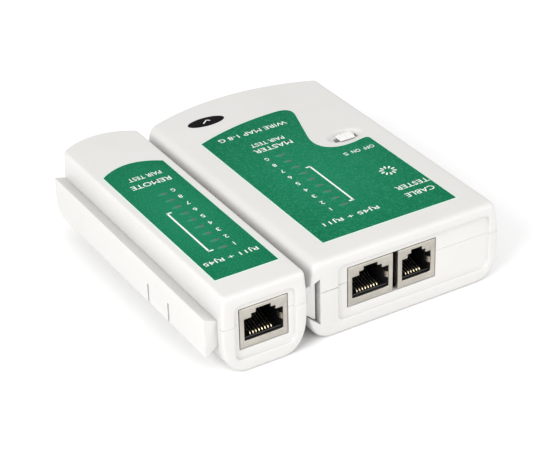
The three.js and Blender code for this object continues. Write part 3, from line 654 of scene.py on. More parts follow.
def rear_rows(c, half):
    """From the straight stretch to the rear arc and round its edge."""
    rows = []
    ring = half_section(c, half, CHEEK if c is REMOTE else PARTING, c.notched)
    for s in np.linspace(0, 1, 7)[1:]:
        end = rear_arc(c, ring[:, 0]) - c.tail - (RAMP / 2 if c is MASTER else RAMP)
        rows.append(put(ring, REAR_START + s * (end - REAR_START)))
    plain = half_section(c, half, PARTING, False)
    for t in np.linspace(0, 1, 6):
        ring = pinched(c, plain, PARTING, c.tail * t ** 2, c.tail * t ** 2, c.tail * t ** 2)
        rows.append(put(ring, rear_arc(c, ring[:, 0]) - c.tail * (1 - t) ** 2))
    return rows


def gathered(c, last, half, shares):
    """The rear face: the last row drawn together, share by share, until it lies on the seam."""
    x, z = last[:, 0], last[:, 2]
    seam = PARTING + (SEAM / 2 if half == "upper" else -SEAM / 2)
    flat = np.abs(z - (z.max() if half == "upper" else z.min())) < 1e-6
    first, final = np.flatnonzero(flat)[[0, -1]]
    goal = x.copy()
    goal[:first + 1] = np.linspace(x[0], x[first], first + 1)
    goal[final:] = np.linspace(x[final], x[-1], len(x) - final)
    rows = []
    for share in shares:
        ring = np.stack([x + (goal - x) * share, z + (seam - z) * share], 1)
        rows.append(put(ring, rear_arc(c, ring[:, 0])))
    return rows


def straight_rows(c, half, stops):
    """The long straight stretch, with a row at each stop."""
    if c is MASTER:
        return [put(half_section(c, half, PARTING, True), y) for y in stops]
    rail_front = span("remote_bottom_shell")[0][1] + RAIL_SETBACK
    raised = half_section(c, half, CHEEK, False)
    return [put(half_section(c, half, PARTING, False), rail_front - RAMP / 2),
            put(raised, rail_front + RAMP / 2), *[put(raised, y) for y in stops]]


def case_shell(name, c, rows, bevel, thin, leave_out=None):
    """A shell from its rows: set at its unit's middle line, its edges rounded, its wall made."""
    made = surface(name, [np.array(rows)], leave_out=leave_out)
    made.data.transform(Matrix.Translation((c.x * MM, 0, 0)))
    soften(made, bevel)
    return thicken(made, c.wall, thin=thin)


# %% [markdown]
# ### The wide unit's upper shell
# The slide switch sits in an oval dish. The dish is pressed into the grid as a smooth function
# of the distance from its middle, and the slot for the knob is a block of faces left out. The
# grid is finer there, so that the dish's rim stays round.

# %% Master top shell
knob_lo, knob_hi = span("switch_knob")
SWITCH_X, SWITCH_Y = (knob_lo[0] + knob_hi[0]) / 2 - MASTER.x, (knob_lo[1] + knob_hi[1]) / 2
DISH_LONG, DISH_WIDE, DISH_DEPTH = 6.7, 3.9, 1.05
SLOT_HALF_LONG, SLOT_HALF_WIDE = 4.3, 1.15


def dish(x, y):
    """Depth of the dish at (x, y): full inside 0.8 of its oval, nothing beyond the rim."""
    r = np.hypot((x - SWITCH_X) / DISH_LONG, (y - SWITCH_Y) / DISH_WIDE)
    t = np.clip((1.0 - r) / 0.2, 0, 1)
    return DISH_DEPTH * t * t * (3 - 2 * t)


nose_end = MASTER.front + MASTER.nose
slot_rows = SWITCH_Y + np.array([-SLOT_HALF_WIDE, SLOT_HALF_WIDE])
stops = np.unique(np.round(np.concatenate([
    np.linspace(nose_end + 1.5, 3.6, 14), np.linspace(3.6, 12.8, 21), slot_rows,
    np.linspace(12.8, REAR_START, 7)]), 3))
rows = front_rows(MASTER, "upper") + straight_rows(MASTER, "upper", stops)
rows += rear_rows(MASTER, "upper")
rows += gathered(MASTER, rows[-1], "upper", [0.25, 0.5, 0.75, 1.0])
skin = np.array(rows)
on_top = skin[..., 2] > MASTER.height - 0.01
skin[..., 2] -= np.where(on_top, dish(skin[..., 0], skin[..., 1]), 0)


def in_slot(x, y, z):
    """Faces inside the knob's slot."""
    near = (np.abs(x - SWITCH_X) < SLOT_HALF_LONG) & (np.abs(y - SWITCH_Y) < SLOT_HALF_WIDE)
    return near & (z > MASTER.height - 2)


WEDGE_INNER, WEDGE_LOW, WEDGE_HIGH = 29.4, 1.5, 24.6
MASTER_BEVEL, REMOTE_BEVEL = 0.22, 0.2


def by_channel(x, y, z):
    """The sharp wedges along the dovetail channel."""
    return (x < MASTER.x - WEDGE_INNER) & (z > WEDGE_LOW) & (z < WEDGE_HIGH)


master_top = case_shell("master_top_case", MASTER, skin, MASTER_BEVEL, by_channel, in_slot)
settle(master_top, "master", "case_plastic", ABS, "master_top_shell")

# %% [markdown]
# ### The wide unit's lower shell
# The underside has a wide opening for the battery door, from the middle to the rear, and the
# screws sit in round wells. The opening is a block of faces left out. A round hole doesn't
# follow the grid, so it is cut afterwards through the finished wall, and each well is a small
# turned tube that carries the screw's head.


# %% Turned wells and holes
def turned(name, profile, spots, sides=40):
    """Each profile of (radius, z) carried round an upright axis at every spot (x, y)."""
    a = np.linspace(0, 2 * np.pi, sides, endpoint=False)
    r, z = np.array(profile, float).T
    ring = np.stack([np.outer(r, np.cos(a)), np.outer(r, np.sin(a)),
                     np.broadcast_to(z[:, None], (len(r), sides))], -1)
    return surface(name, [ring + np.array([x, y, 0]) for x, y in spots], around=True)


def middles(*nodes):
    """The middles of frame pieces, as (x, y)."""
    boxes = [span(n) for n in nodes]
    return [tuple(((lo + hi) / 2)[:2]) for lo, hi in boxes]


HEAD_ROOM, SHANK_ROOM, WELL_DEPTH, BOSS_HIGH, BOSS = 2.9, 1.5, 3.0, 10.8, 3.5
WELL = [(HEAD_ROOM, 1.3), (HEAD_ROOM, WELL_DEPTH), (SHANK_ROOM, WELL_DEPTH + 0.2),
        (SHANK_ROOM, BOSS_HIGH), (BOSS, BOSS_HIGH), (BOSS, 1.35), (HEAD_ROOM, 1.3)]
CUTTER = [(0.001, -2), (HEAD_ROOM, -2), (HEAD_ROOM, 2.6), (0.001, 2.6)]


def drilled(shell, spots):
    """Cuts the screws' holes through a shell's floor and adds the wells round them."""
    cut_away(shell, turned("cutter", CUTTER, spots))
    return combine(shell, turned("wells", WELL, spots))


# %% Master bottom shell
stops = np.concatenate([np.linspace(nose_end + 2, BAY_FRONT, 11),
                        np.linspace(BAY_FRONT, REAR_START, 9)[1:]])
rows = front_rows(MASTER, "lower") + straight_rows(MASTER, "lower", stops)
rows += rear_rows(MASTER, "lower")
low_share = (BAY_HIGH - MASTER.tail) / (PARTING - SEAM / 2 - MASTER.tail)
rows += gathered(MASTER, rows[-1], "lower", [low_share, 0.35, 0.6, 0.8, 1.0])


def in_bay(x, y, z):
    """Faces in the battery door's place."""
    return (np.abs(x) < BAY_HALF) & (y > BAY_FRONT) & (z < BAY_HIGH)


master_bottom = case_shell("master_bottom_case", MASTER, rows, MASTER_BEVEL, by_channel, in_bay)
drilled(master_bottom, middles(*[f"master_screw_{i}" for i in range(1, 5)]))
settle(master_bottom, "master", "case_plastic", ABS, "master_bottom_shell")

# %% [markdown]
# ### The narrow unit's shells
# The narrow unit is made the same way. Its lower shell stands higher between the ends, where
# the rails grow out of it, so the seam steps up there. Its rear face has a sunk, flat panel
# with a window for a second jack: after the rear edge the rows go on inwards, over the lip,
# down to the panel and into the window.

# %% Remote shells
TAIL_PANEL, TAIL_WINDOW = (-7.9, 7.9), (-7.1, 7.1)
TAIL_FLOOR = REMOTE.rear - 1.6
TAIL_EDGE, TAIL_ROUND = {"upper": 23.0, "lower": 5.4}, 1.8
RAMP_REAR, RAMP_FRONT, SEAM_MIDDLE = 47.2, -50.5, 17.4


def tail_rows(c, half):
    """Rear panel's lip, its floor and the window of the rear jack."""
    lip = framed(c, half, *TAIL_PANEL, TAIL_EDGE[half], TAIL_ROUND)
    window = framed(c, half, *TAIL_WINDOW, WINDOW_EDGE[half], WINDOW_ROUND)
    return [put(lip, rear_arc(c, lip[:, 0])), put(lip, TAIL_FLOOR),
            put(window, TAIL_FLOOR), put(window, TAIL_FLOOR - WINDOW_DEEP)]


def by_ramps(x, y, z):
    """The places where the raised seam comes down to the ends."""
    near = (np.abs(y - RAMP_REAR) < 2.6) | (y < RAMP_FRONT)
    return near & (np.abs(x - REMOTE.x) > 12.2) & (np.abs(z - SEAM_MIDDLE) < 3)


remote_shells = {}
stops = np.linspace(REMOTE.front + REMOTE.nose + 4, REAR_START, 16)
for half, name in (("upper", "remote_top_case"), ("lower", "remote_bottom_case")):
    rows = front_rows(REMOTE, half) + straight_rows(REMOTE, half, stops)
    rows += rear_rows(REMOTE, half) + tail_rows(REMOTE, half)
    remote_shells[half] = case_shell(name, REMOTE, rows, REMOTE_BEVEL, by_ramps)

# %% [markdown]
# ### The rails
# A rail is a solid dovetail bar: narrow at its root and wide at its outer face. In its front
# third a pocket cut from below leaves a thin tab, two slits free the tab so that it can bend,
# and it carries a small bump. The rail is its outline carried along Y. Its rear lower corner
# is round, so towards the rear the outline is squeezed from below along a quarter circle.


# %% Rails
RAIL = types.SimpleNamespace(root=13.6, low=7.1, high=20.3, root_low=11.25, root_high=18.35,
                             front=-52.7, rear=46.2, corner=5.0)
TAB_FROM, TAB_TO, TAB_SLIT, TAB_TOP, BUMP = -30.8, -17.3, 0.9, 14.0, 0.45


def rail_outline():
    """The bar's section from the top of its root, over the outer face, to the bottom."""
    r = RAIL
    return track((r.root, r.root_high), (4, (RAIL_REACH - 0.3, r.high - 0.1)),
                 (4, (RAIL_REACH, r.high), (RAIL_REACH, r.high - 0.3)),
                 (4, (RAIL_REACH, TAB_TOP)), (8, (RAIL_REACH, r.low + 0.6)),
                 (4, (RAIL_REACH, r.low), (RAIL_REACH - 0.5, r.low + 0.42)),
                 (4, (r.root, r.root_low)))


def rail_grid():
    """The outline at each row, squeezed upwards near the rear, with both ends gathered."""
    r = RAIL
    slits = [TAB_FROM, TAB_FROM + TAB_SLIT, TAB_TO - TAB_SLIT, TAB_TO]
    bend = r.rear - r.corner * (1 - np.sin(np.linspace(0, np.pi / 2, 9)))
    y = np.unique(np.concatenate([np.linspace(r.front + 0.3, TAB_FROM, 5), slits,
                                  np.linspace(TAB_FROM + 1.4, TAB_TO - 1.4, 9),
                                  np.linspace(TAB_TO, bend[0], 8), bend]))
    section = rail_outline()
    into = np.clip((y - bend[0]) / r.corner, 0, 1)
    lift = r.corner * (1 - np.sqrt(1 - into ** 2))
    z = section[None, :, 1] + lift[:, None] * np.clip((r.high - section[:, 1]) / 13.2, 0, 1)
    middle = (TAB_FROM + TAB_TO) / 2
    half = (TAB_TO - TAB_FROM) / 2 - TAB_SLIT
    along = np.clip(1 - (np.abs(y - middle) / half) ** 6, 0, 1)
    foot = np.exp(-((section[:, 1] - 8.6) / 0.9) ** 2) * (section[:, 0] > RAIL_REACH - 0.6)
    x = section[None, :, 0] + BUMP * along[:, None] * foot[None, :]
    grid = np.stack([x, np.broadcast_to(y[:, None], z.shape), z], -1)
    ends = [np.broadcast_to(row.mean(0), row.shape) for row in (grid[0], grid[-1])]
    return np.concatenate([ends[:1], grid, ends[1:]])


def block(x0, x1, y0, y1, z0, z1):
    """A box as a closed grid: two rings of four corners and their middles."""
    ring = np.array([[x0, y0], [x1, y0], [x1, y1], [x0, y1]])
    middle = np.broadcast_to(ring.mean(0), ring.shape)
    rows = ((middle, z0), (ring, z0), (ring, z1), (middle, z1))
    return np.array([np.column_stack([r, np.full(4, z)]) for r, z in rows])


TAB_THICK = 1.6
root, slit_out = RAIL.root + TAB_THICK, RAIL_REACH + 3
cuts = [block(root, RAIL_REACH - TAB_THICK, TAB_FROM + 0.1, TAB_TO - 0.1, 0, TAB_TOP),
        block(root, slit_out, TAB_FROM, TAB_FROM + TAB_SLIT, -1, TAB_TOP + 0.01),
        block(root, slit_out, TAB_TO - TAB_SLIT, TAB_TO, -1, TAB_TOP + 0.01)]
rail = rail_grid()
for sign in (1, -1):
    mirror = np.array([sign, 1, 1])
    rod = surface("rail", [rail * mirror], around=True)
    soften(rod, 0.25, angle=50)
    for cut in cuts:
        cut_away(rod, surface("cutter", [cut * mirror], around=True))
    rod.data.transform(Matrix.Translation((REMOTE.x * MM, 0, 0)))
    combine(remote_shells["lower"], rod)

drilled(remote_shells["lower"], middles("remote_screw_1", "remote_screw_2"))
settle(remote_shells["upper"], "remote", "case_plastic", ABS, "remote_top_shell")
settle(remote_shells["lower"], "remote", "case_plastic", ABS, "remote_bottom_shell")

# %% [markdown]
# ### The battery door
# The door is a piece of the case's own underside that slides out to the rear. It has a thumb
# grip of four short ribs near its end: grooves pressed in as a function of the place.

# %% Battery door
DOOR_FRONT, DOOR_HALF, DOOR_TOP, DOOR_WALL = -4.4, 13.2, 2.4, 1.0
GRIP_FIRST, GRIP_STEP, GRIP_DEPTH, GRIP_END = 38.4, 2.0, 0.45, 45.4


def grip(x, y):
    """Depth of the thumb grip's grooves: a row of half waves, each shorter than the last."""
    depth = np.zeros(np.broadcast(x, y).shape)
    for i in range(4):
        across = np.clip((6.2 - i - np.abs(x)) / 0.5, 0, 1)
        wave = np.clip(1 - ((y - GRIP_FIRST - GRIP_STEP * i) / 0.7) ** 2, 0, 1)
        depth = np.maximum(depth, GRIP_DEPTH * across * wave)
    return depth


x = np.unique(np.concatenate([np.linspace(-DOOR_HALF, DOOR_HALF, 15),
                              np.linspace(-6.6, 6.6, 45)]))
y = np.concatenate([np.linspace(DOOR_FRONT, 37.2, 12), np.linspace(37.4, GRIP_END, 54)])
base = np.stack(np.meshgrid(x, y), -1)
plate = np.concatenate([base, grip(base[..., 0], base[..., 1])[..., None]], -1)
rows = [*plate]
end = rear_arc(MASTER, x) - MASTER.tail
for s in (0.34, 0.67, 1.0):
    rows.append(put(np.stack([x, 0 * x], 1), GRIP_END + s * (end - GRIP_END)))
for t in np.linspace(0, 1, 6)[1:]:
    rows.append(put(np.stack([x, 0 * x + MASTER.tail * t ** 2], 1),
                    rear_arc(MASTER, x) - MASTER.tail * (1 - t) ** 2))
rows.append(put(np.stack([x, 0 * x + DOOR_TOP], 1), rear_arc(MASTER, x)))
door = surface("battery_cover", [np.array(rows) + [MASTER.x, 0, 0]])
soften(door, 0.15)
facing = sum(p.normal.z * p.area for p in door.data.polygons)
if facing > 0:      # an open sheet may be turned either way: this one has to face down
    door.data.flip_normals()
thicken(door, DOOR_WALL)
settle(door, "battery_door", "case_plastic", ABS, "battery_door")

# %% [markdown]
# ## The jacks
# A shielded jack is a folded can of plated sheet with a stepped mouth: the plug's body goes in
# below, and its latch runs in the two steps above. The can and the black insert are both rings
# carried in depth, from the mouth's outline out to the can's and back along its walls. Local
# places are (across, depth, height), so that the rear jack is the same jack turned round.

# %% Outlines of a jack
MOUTH_LOW, SHOULDER, STEP, ROOF_OF_MOUTH = 2.3, 9.7, 11.0, 12.2
EIGHT_WAY, SIX_WAY = (13.0, 8), (10.4, 6)     # the mouth's width and the number of contacts
CAN_DEPTHS = (2.0, 6.0, 10.0, 14.0, 16.1)
SHEET = 0.3


def mirrored(half):
    """A closed outline from its right half, which starts and ends on the middle line."""
    return np.concatenate([half, half[-2:0:-1] * np.array([-1, 1])])


def mouth(wide, inset=0.0):
    """The stepped mouth: wide is its width, and inset draws it in."""
    w = wide / 2 - inset
    a, b = wide * 0.31 - inset, wide * 0.19 - inset
    return mirrored(track((0, MOUTH_LOW + inset), (4, (w, MOUTH_LOW + inset)),
                          (6, (w, SHOULDER - inset)), (3, (a, SHOULDER - inset)),
                          (2, (a, STEP - inset)), (3, (b, STEP - inset)),
                          (2, (b, ROOF_OF_MOUTH - inset)), (3, (0, ROOF_OF_MOUTH - inset))))


def can(width, high, wide, inset=0.0):
    """The can's outline with the same points as the mouth's."""
    w, top, low = width / 2 - inset, high - inset, inset
    return mirrored(track((0, low), (4, (w, low)), (6, (w, 10.2)), (3, (w, 12.3)), (2, (w, top)),
                          (3, (w * 0.57, top)), (2, (wide * 0.19, top)), (3, (0, top))))


def at_depth(ring, depth):
    """An outline (across, height) set at a depth."""
    return np.column_stack([ring[:, 0], np.full(len(ring), depth), ring[:, 1]])


def drawn_in(ring, depth):
    """A flat end: the outline gathered to its own middle."""
    middle = (ring.max(0) + ring.min(0)) / 2
    return at_depth(ring * 0 + middle, depth)


class Jack:
    """Where a jack is, from its can in the frame: its face, its middle and its way in."""

    def __init__(self, name, body, out):
        self.name, self.body, self.out = name, body, out
        lo, hi = span(f"{name}_shield")
        self.middle = (lo[0] + hi[0]) / 2
        self.face = lo[1] if out < 0 else hi[1]
        self.floor, self.width, self.high = lo[2], hi[0] - lo[0], hi[2] - lo[2]
        self.mouth, self.contacts = EIGHT_WAY if name.endswith("rj45") else SIX_WAY

    def set(self, grid):
        """Local (across, depth, height) to the tester's own frame."""
        return np.stack([self.middle - self.out * grid[..., 0],
                         self.face - self.out * grid[..., 1],
                         self.floor + grid[..., 2]], -1)


JACKS = [Jack("master_rj45", "master", -1), Jack("master_rj11", "master", -1),
         Jack("remote_rj45", "remote", -1), Jack("remote_rj11", "remote", 1)]


# %% [markdown]
# Spring fingers press on the plug's shield from both sides: each is a strip whose distance
# from the wall follows half a sine wave in depth.

# %% Cans with their spring fingers
FINGER_LOW, FINGER_HIGH, FINGER_FROM, FINGER_REACH = 5.2, 7.2, 0.35, 3.0
FINGER_BULGE, FINGER_THICK = 0.55, 0.22


def finger(jack, sign):
    """A strip (depth, height) that bulges into the mouth: across = wall - bulge sin(pi s)."""
    s, z = np.meshgrid(np.linspace(0, 1, 13), np.linspace(FINGER_LOW, FINGER_HIGH, 4),
                       indexing="ij")
    across = jack.mouth / 2 + 0.05 - FINGER_BULGE * np.sin(np.pi * s)
    return np.stack([sign * across, FINGER_FROM + FINGER_REACH * s, z], -1)


for jack in JACKS:
    hole = mouth(jack.mouth)
    outside = can(jack.width, jack.high, jack.mouth)
    skin = [at_depth(hole, 0.4), at_depth(hole, 0), at_depth(outside, 0)]
    skin += [at_depth(outside, d) for d in CAN_DEPTHS]
    shell = surface(f"{jack.name}_can", [jack.set(np.array(skin))], around=True)
    soften(shell, 0.16, angle=60)
    thicken(shell, SHEET)
    for sign in (-1, 1):
        strip = surface("finger", [jack.set(finger(jack, sign))])
        combine(shell, modify(strip, "SOLIDIFY", thickness=FINGER_THICK * MM, offset=0))
    settle(shell, jack.body, "jack_shield", NICKEL, f"{jack.name}_shield", sharp=40)

# %% [markdown]
# The insert is one closed block: its front frames the mouth, the mouth's tunnel ends in a flat
# back, and a rounded ledge runs along its lower edge, just behind the sheet.

# %% Inserts
TUNNEL, BLOCK_DEPTH, LEDGE_UP, LEDGE_DEPTH, LEDGE_R = 12.6, 15.9, 2.75, 1.0, 0.22


def ledge(jack):
    """A half-round bar across the mouth: a circle carried along the width."""
    a = np.linspace(0, 2 * np.pi, 13)[:-1]
    across = np.array([-1, -1, 1, 1]) * (jack.mouth / 2 - 0.15)
    radius = np.array([0.001, LEDGE_R, LEDGE_R, 0.001])
    return np.stack([np.repeat(across[:, None], 12, 1),
                     LEDGE_DEPTH + radius[:, None] * np.cos(a),
                     LEDGE_UP + radius[:, None] * np.sin(a)], -1)


for jack in JACKS:
    hole = mouth(jack.mouth, 0.1)
    outside = can(jack.width, jack.high, jack.mouth, SHEET + 0.15)
    skin = [drawn_in(hole, TUNNEL), at_depth(hole, TUNNEL), at_depth(hole, 6.0),
            at_depth(hole, 0.5), at_depth(outside, 0.5), at_depth(outside, BLOCK_DEPTH),
            drawn_in(outside, BLOCK_DEPTH)]
    insert = surface(f"{jack.name}_insert", [jack.set(np.array(skin)), jack.set(ledge(jack))],
                     around=True)
    settle(insert, jack.body, "jack_insert", INSERT, f"{jack.name}_housing", sharp=40)

# %% [markdown]
# Each contact is a round gold-flashed wire. It comes out of the ledge, bends over in a tight
# knuckle, which catches the light, and rises to the back. The wires share one centreline in
# depth and height, and stand one pitch apart.

# %% Contacts
PITCH, WIRE = 1.02, 0.21
THICKNESS = ((2.0, 2.3, 3.2, 4.0), (1.0, 1.15, 1.15, 0.35))    # depths, and shares of WIRE
CENTRELINE = track((1.9, 2.6), (5, (2.2, 3.35), (2.9, 3.2)), (6, (6.5, 4.1)), (6, (12.5, 6.5)))


def wire(across):
    """A circle carried along the centreline, closed at both ends: its radius is WIRE times a
    share that depends on the depth."""
    along = np.gradient(CENTRELINE, axis=0)
    along /= np.linalg.norm(along, axis=1)[:, None]
    normal = np.stack([-along[:, 1], along[:, 0]], 1)
    line = CENTRELINE[[0, *range(len(CENTRELINE)), -1]]
    normal = normal[[0, *range(len(normal)), -1]]
    radius = np.interp(line[:, 0], *THICKNESS) * WIRE
    radius[[0, -1]] = 0.001
    a = np.linspace(0, 2 * np.pi, 9)[:-1]
    lift = radius[:, None] * np.cos(a)
    return np.stack([across + radius[:, None] * np.sin(a),
                     line[:, :1] + normal[:, :1] * lift,
                     line[:, 1:] + normal[:, 1:] * lift], -1)


for jack in JACKS:
    places = (np.arange(jack.contacts) - (jack.contacts - 1) / 2) * PITCH
    comb = surface(f"{jack.name}_wires", [jack.set(wire(p)) for p in places], around=True,
                   merge=0.0005)
    settle(comb, jack.body, "contact_gold", GOLD, f"{jack.name}_contacts", sharp=60)

# %% [markdown]
# ## The labels
# Each unit has a green printed film. Its outline is drawn once, and drawn in a little for the
# clear rim that is left between the print and the cut edge. On the wide unit the film makes
# room for the slide switch with a long S-shaped curve.


# %% Label outlines
def master_outline(s):
    """The wide label's outline, drawn in by s."""
    return track((-24.1 + s, -45 + s), (1, (24.8 - s, -45 + s)), (1, (24.6 - s, 1.8)),
                 (8, (24.6 - s, 3.7 - s), (22.8, 3.6 - s)),
                 (12, (20.5, 3.4 - s), (18.5, 2.6 - s), (15, 2.7 - s)),
                 (20, (8.4 - s, 3.1 - s), (5.9 - s, 7.6), (8.2 - s, 14.5)),
                 (1, (12.9 - s, 29.6)),
                 (14, (13.9 - s, 33.4), (11.8 - s, 35.2 - s), (8, 35.2 - s)),
                 (20, (-8, 35.2 - s), (-24.1 + s, 28.8 - s)))


def remote_outline(s):
    """The narrow label's outline, drawn in by s."""
    return track((-11 + s, -45.9 + s), (1, (10.8 - s, -45.9 + s)), (1, (10.8 - s, 25.7 - s)),
                 (20, (0, 33.9 - s), (-11 + s, 25.7 - s)))


def film(name, outline, rim, height, x):
    """A cut film: its edge, a clear rim and the printed field, which is one flat face."""
    outer, inner = outline(0), outline(rim)
    n = len(outer)
    rings = [(outer, height - 0.05), (outer, height + FILM - 0.03),
             (outline(0.04), height + FILM), (inner, height + FILM)]
    points = np.concatenate([np.column_stack([ring + [x, 0], np.full(n, z)])
                             for ring, z in rings])
    k = (np.arange(n) + 1) % n
    strips = [np.stack([np.arange(n) + i * n, k + i * n, k + (i + 1) * n,
                        np.arange(n) + (i + 1) * n], 1) for i in range(3)]
    faces = [*np.concatenate(strips).tolist(), list(range(3 * n, 4 * n))]
    mesh = bpy.data.meshes.new(name)
    mesh.from_pydata(points * MM, [], faces)
    mesh.materials.append(FILM_EDGE)
    mesh.polygons[-1].material_index = 1
    return show(name, mesh)


LABEL_RIM = 0.28
for unit, body, outline, reach in ((MASTER, "master", master_outline, (46, 62, 40)),
                                   (REMOTE, "remote", remote_outline, (22, 60, 40))):
    # each film's finish has a painted sheen round the label's middle, spreading over reach (mm)
    green = green_film_painted_sheen(f"{body}_green_film_painted_sheen", (unit.x - 1, -8, unit.height), reach)
    label = film(f"{body}_film", outline, LABEL_RIM, unit.height, unit.x)
    kinds = np.array([p.material_index for p in label.data.polygons])
    settle(label, body, "printed_film", [FILM_EDGE, green], f"{body}_label")
    label.data.polygons.foreach_set("material_index", kinds)

# %% [markdown]
# ## The print
# The legends read from the jacks' side, so every word is turned half round. A word is a text
# object made into a mesh, then fitted to the width and height that it has on the film. Lines
# and the ring of rays round the power lamp are flat outlines. The words are only the generic
# ones that such a tool needs.

# %% Words, lines and rays
INK_UP, INK_THICK = 0.004, 0.012


def word(text, x, y, width, height, bold=0.004):
    """A word's points and faces in mm, turned half round, its middle at (x, y)."""
    curve = bpy.data.curves.new("word", "FONT")
    curve.body, curve.offset, curve.resolution_u = text, bold, 3
    holder = show("word", curve)
    seen = holder.evaluated_get(bpy.context.evaluated_depsgraph_get())
    mesh = bpy.data.meshes.new_from_object(seen)
    flat = np.zeros(len(mesh.vertices) * 3)
    mesh.vertices.foreach_get("co", flat)
    flat = flat.reshape(-1, 3)[:, :2]
    faces = [list(p.vertices) for p in mesh.polygons]
    bpy.data.objects.remove(holder)
    share = (flat - flat.min(0)) / (flat.max(0) - flat.min(0)) - 0.5
    return np.array([x, y]) - share * np.array([width, height]), faces


def bar(x0, x1, y0, y1):
    """A straight printed line."""
    return np.array([[x0, y0], [x1, y0], [x1, y1], [x0, y1]], float), [[0, 1, 2, 3]]


def rays(x, y, inner, outer, count):
    """A ring of narrow leaves: each is an ellipse with its long axis along the radius."""
    a = np.linspace(0, 2 * np.pi, 13)[:-1]
    along = (inner + outer) / 2 + (outer - inner) / 2 * np.cos(a)
    across = 0.42 * np.sin(a) * (0.75 + 0.25 * np.cos(a))
    turn = np.arange(count)[:, None] * 2 * np.pi / count + 0.2
    points = np.stack([x + along * np.cos(turn) - across * np.sin(turn),
                       y + along * np.sin(turn) + across * np.cos(turn)], -1).reshape(-1, 2)
    return points, [list(range(i * 12, i * 12 + 12)) for i in range(count)]


def print_on(name, unit, body, marks):
    """All of a unit's print as one thin piece."""
    points, faces, start = [], [], 0
    for p, f in marks:
        points.append(p)
        faces += [[v + start for v in face] for face in f]
        start += len(p)
    flat = np.concatenate(points) + np.array([unit.x, 0])
    z = np.full(len(flat), unit.height + FILM + INK_UP)
    mesh = bpy.data.meshes.new(name)
    mesh.from_pydata(np.column_stack([flat, z]) * MM, [], faces)
    made = modify(show(name, mesh), "SOLIDIFY", thickness=INK_THICK * MM, offset=1.0)
    settle(made, body, "printed_film", INK)


MARKS = "12345678G"
DIGIT_WIDTH, DIGIT_HEIGHT, ONE_SHARE = 1.25, 1.9, 0.24


def lamp_marks(x, first, step):
    """The column of lamp marks at x: one every step, from first on. The 1 is a narrow one."""
    return [word(m, x, first + i * step, DIGIT_WIDTH * (ONE_SHARE if m == "1" else 1),
                 DIGIT_HEIGHT) for i, m in enumerate(MARKS)]


master_print = lamp_marks(-11.3, -29.5, 4.69) + [
    word("RJ45 + RJ11", -8.3, -36.0, 19.8, 2.4), word("CABLE", 17.6, -35.4, 10.4, 2.4),
    word("TESTER", 18.1, -30.4, 12.0, 2.4), word("MASTER", -5.2, 14.2, 14.0, 2.5),
    word("PAIR TEST", -5.1, 18.2, 12.3, 2.2), word("WIRE MAP 1-8 G", -5.5, 26.7, 25.4, 2.3),
    word("OFF", 20.3, -2.9, 4.0, 1.9), word("ON", 15.4, -2.9, 3.1, 1.9),
    word("S", 11.6, -2.9, 1.4, 1.9),
    bar(-2.7, -2.1, -28.4, -3.5), bar(-3.9, -2.1, -28.7, -28.1), bar(-3.9, -2.1, -3.8, -3.2),
    rays(16.7, -19.2, 1.25, 2.9, 10)]
remote_print = lamp_marks(4.2, -30.9, 4.72) + [
    word("RJ11 + RJ45", -0.35, -36.6, 18.1, 2.4), word("REMOTE", 0.45, 14.4, 13.7, 2.5),
    word("PAIR TEST", 0.8, 19.4, 11.4, 2.2),
    bar(-4.6, -4.0, -30.8, -5.1), bar(-4.6, -2.8, -31.1, -30.5), bar(-4.6, -2.8, -5.4, -4.8)]
print_on("master_print", MASTER, "master", master_print)
print_on("remote_print", REMOTE, "remote", remote_print)

# %% [markdown]
# ## Lamp windows
# Over each lamp the film has a small oval window, slightly raised. Half of it is greyish and
# half a clearer green, the green on the lower side in x. The split reads the piece's own place
# across the unit, so it is the same for every window in the column.


# %% Windows
def two_colour(name, x):
    """Green on the lower side of x (mm) and greyish on the other, with a soft change."""
    finish = moulded(name, (0.02, 0.205, 0.115), (0.012, 0.175, 0.095), 0.35, grain=900, bump=0.01,
                     cloud=500, Specular_IOR_Level=0.1)
    tree = finish.node_tree
    link = tree.links.new
    place, mixed, base_colour = ends(finish)
    apart = add(tree, "ShaderNodeSeparateXYZ")
    steer = add(tree, "ShaderNodeMapRange", interpolation_type="SMOOTHSTEP",
                From_Min=(x - 0.5) * MM, From_Max=(x + 0.5) * MM)
    both = add(tree, "ShaderNodeMix", data_type="RGBA", B=(0.075, 0.125, 0.09, 1))
    link(place, apart.inputs["Vector"])
    link(apart.outputs["X"], steer.inputs["Value"])
    link(steer.outputs["Result"], both.inputs["Factor"])
    link(mixed, both.inputs["A"])
    link(both.outputs["Result"], base_colour)
    return finish


def oval_cap(name, x, y, base, long, wide, high, power=0.5):
    """A low dome on an oval: height = high (1 - r^2)^power over rings of radius r."""
    r = np.sin(np.linspace(0, np.pi / 2, 7))[:, None]
    a = np.linspace(0, 2 * np.pi, 37)[:-1]
    return surface(name, [np.stack([x + long * r * np.cos(a), y + wide * r * np.sin(a),
                                    base + high * (1 - r ** 2) ** power + 0 * a], -1)],
                   around=True, merge=0.0005)


WINDOW_LONG, WINDOW_WIDE, WINDOW_UP = 1.7, 0.66, 0.07
for unit, body, tint in ((MASTER, "master", "wide_unit_window"),
                         (REMOTE, "remote", "narrow_unit_window")):
    x = middles(f"{body}_led_1")[0][0]
    colour = two_colour(tint, x)
    for mark in MARKS.lower():
        y = middles(f"{body}_led_{mark}")[0][1]
        cap = oval_cap(f"{body}_window_{mark}", x, y, unit.height + FILM - 0.01, WINDOW_LONG,
                       WINDOW_WIDE, WINDOW_UP)
        settle(cap, body, "led_lens", colour)

# %% [markdown]
# ## The sticker
# Behind the label is a black oval sticker, a thin domed film. Its small white mark is a plain
# tick, drawn as two bars.

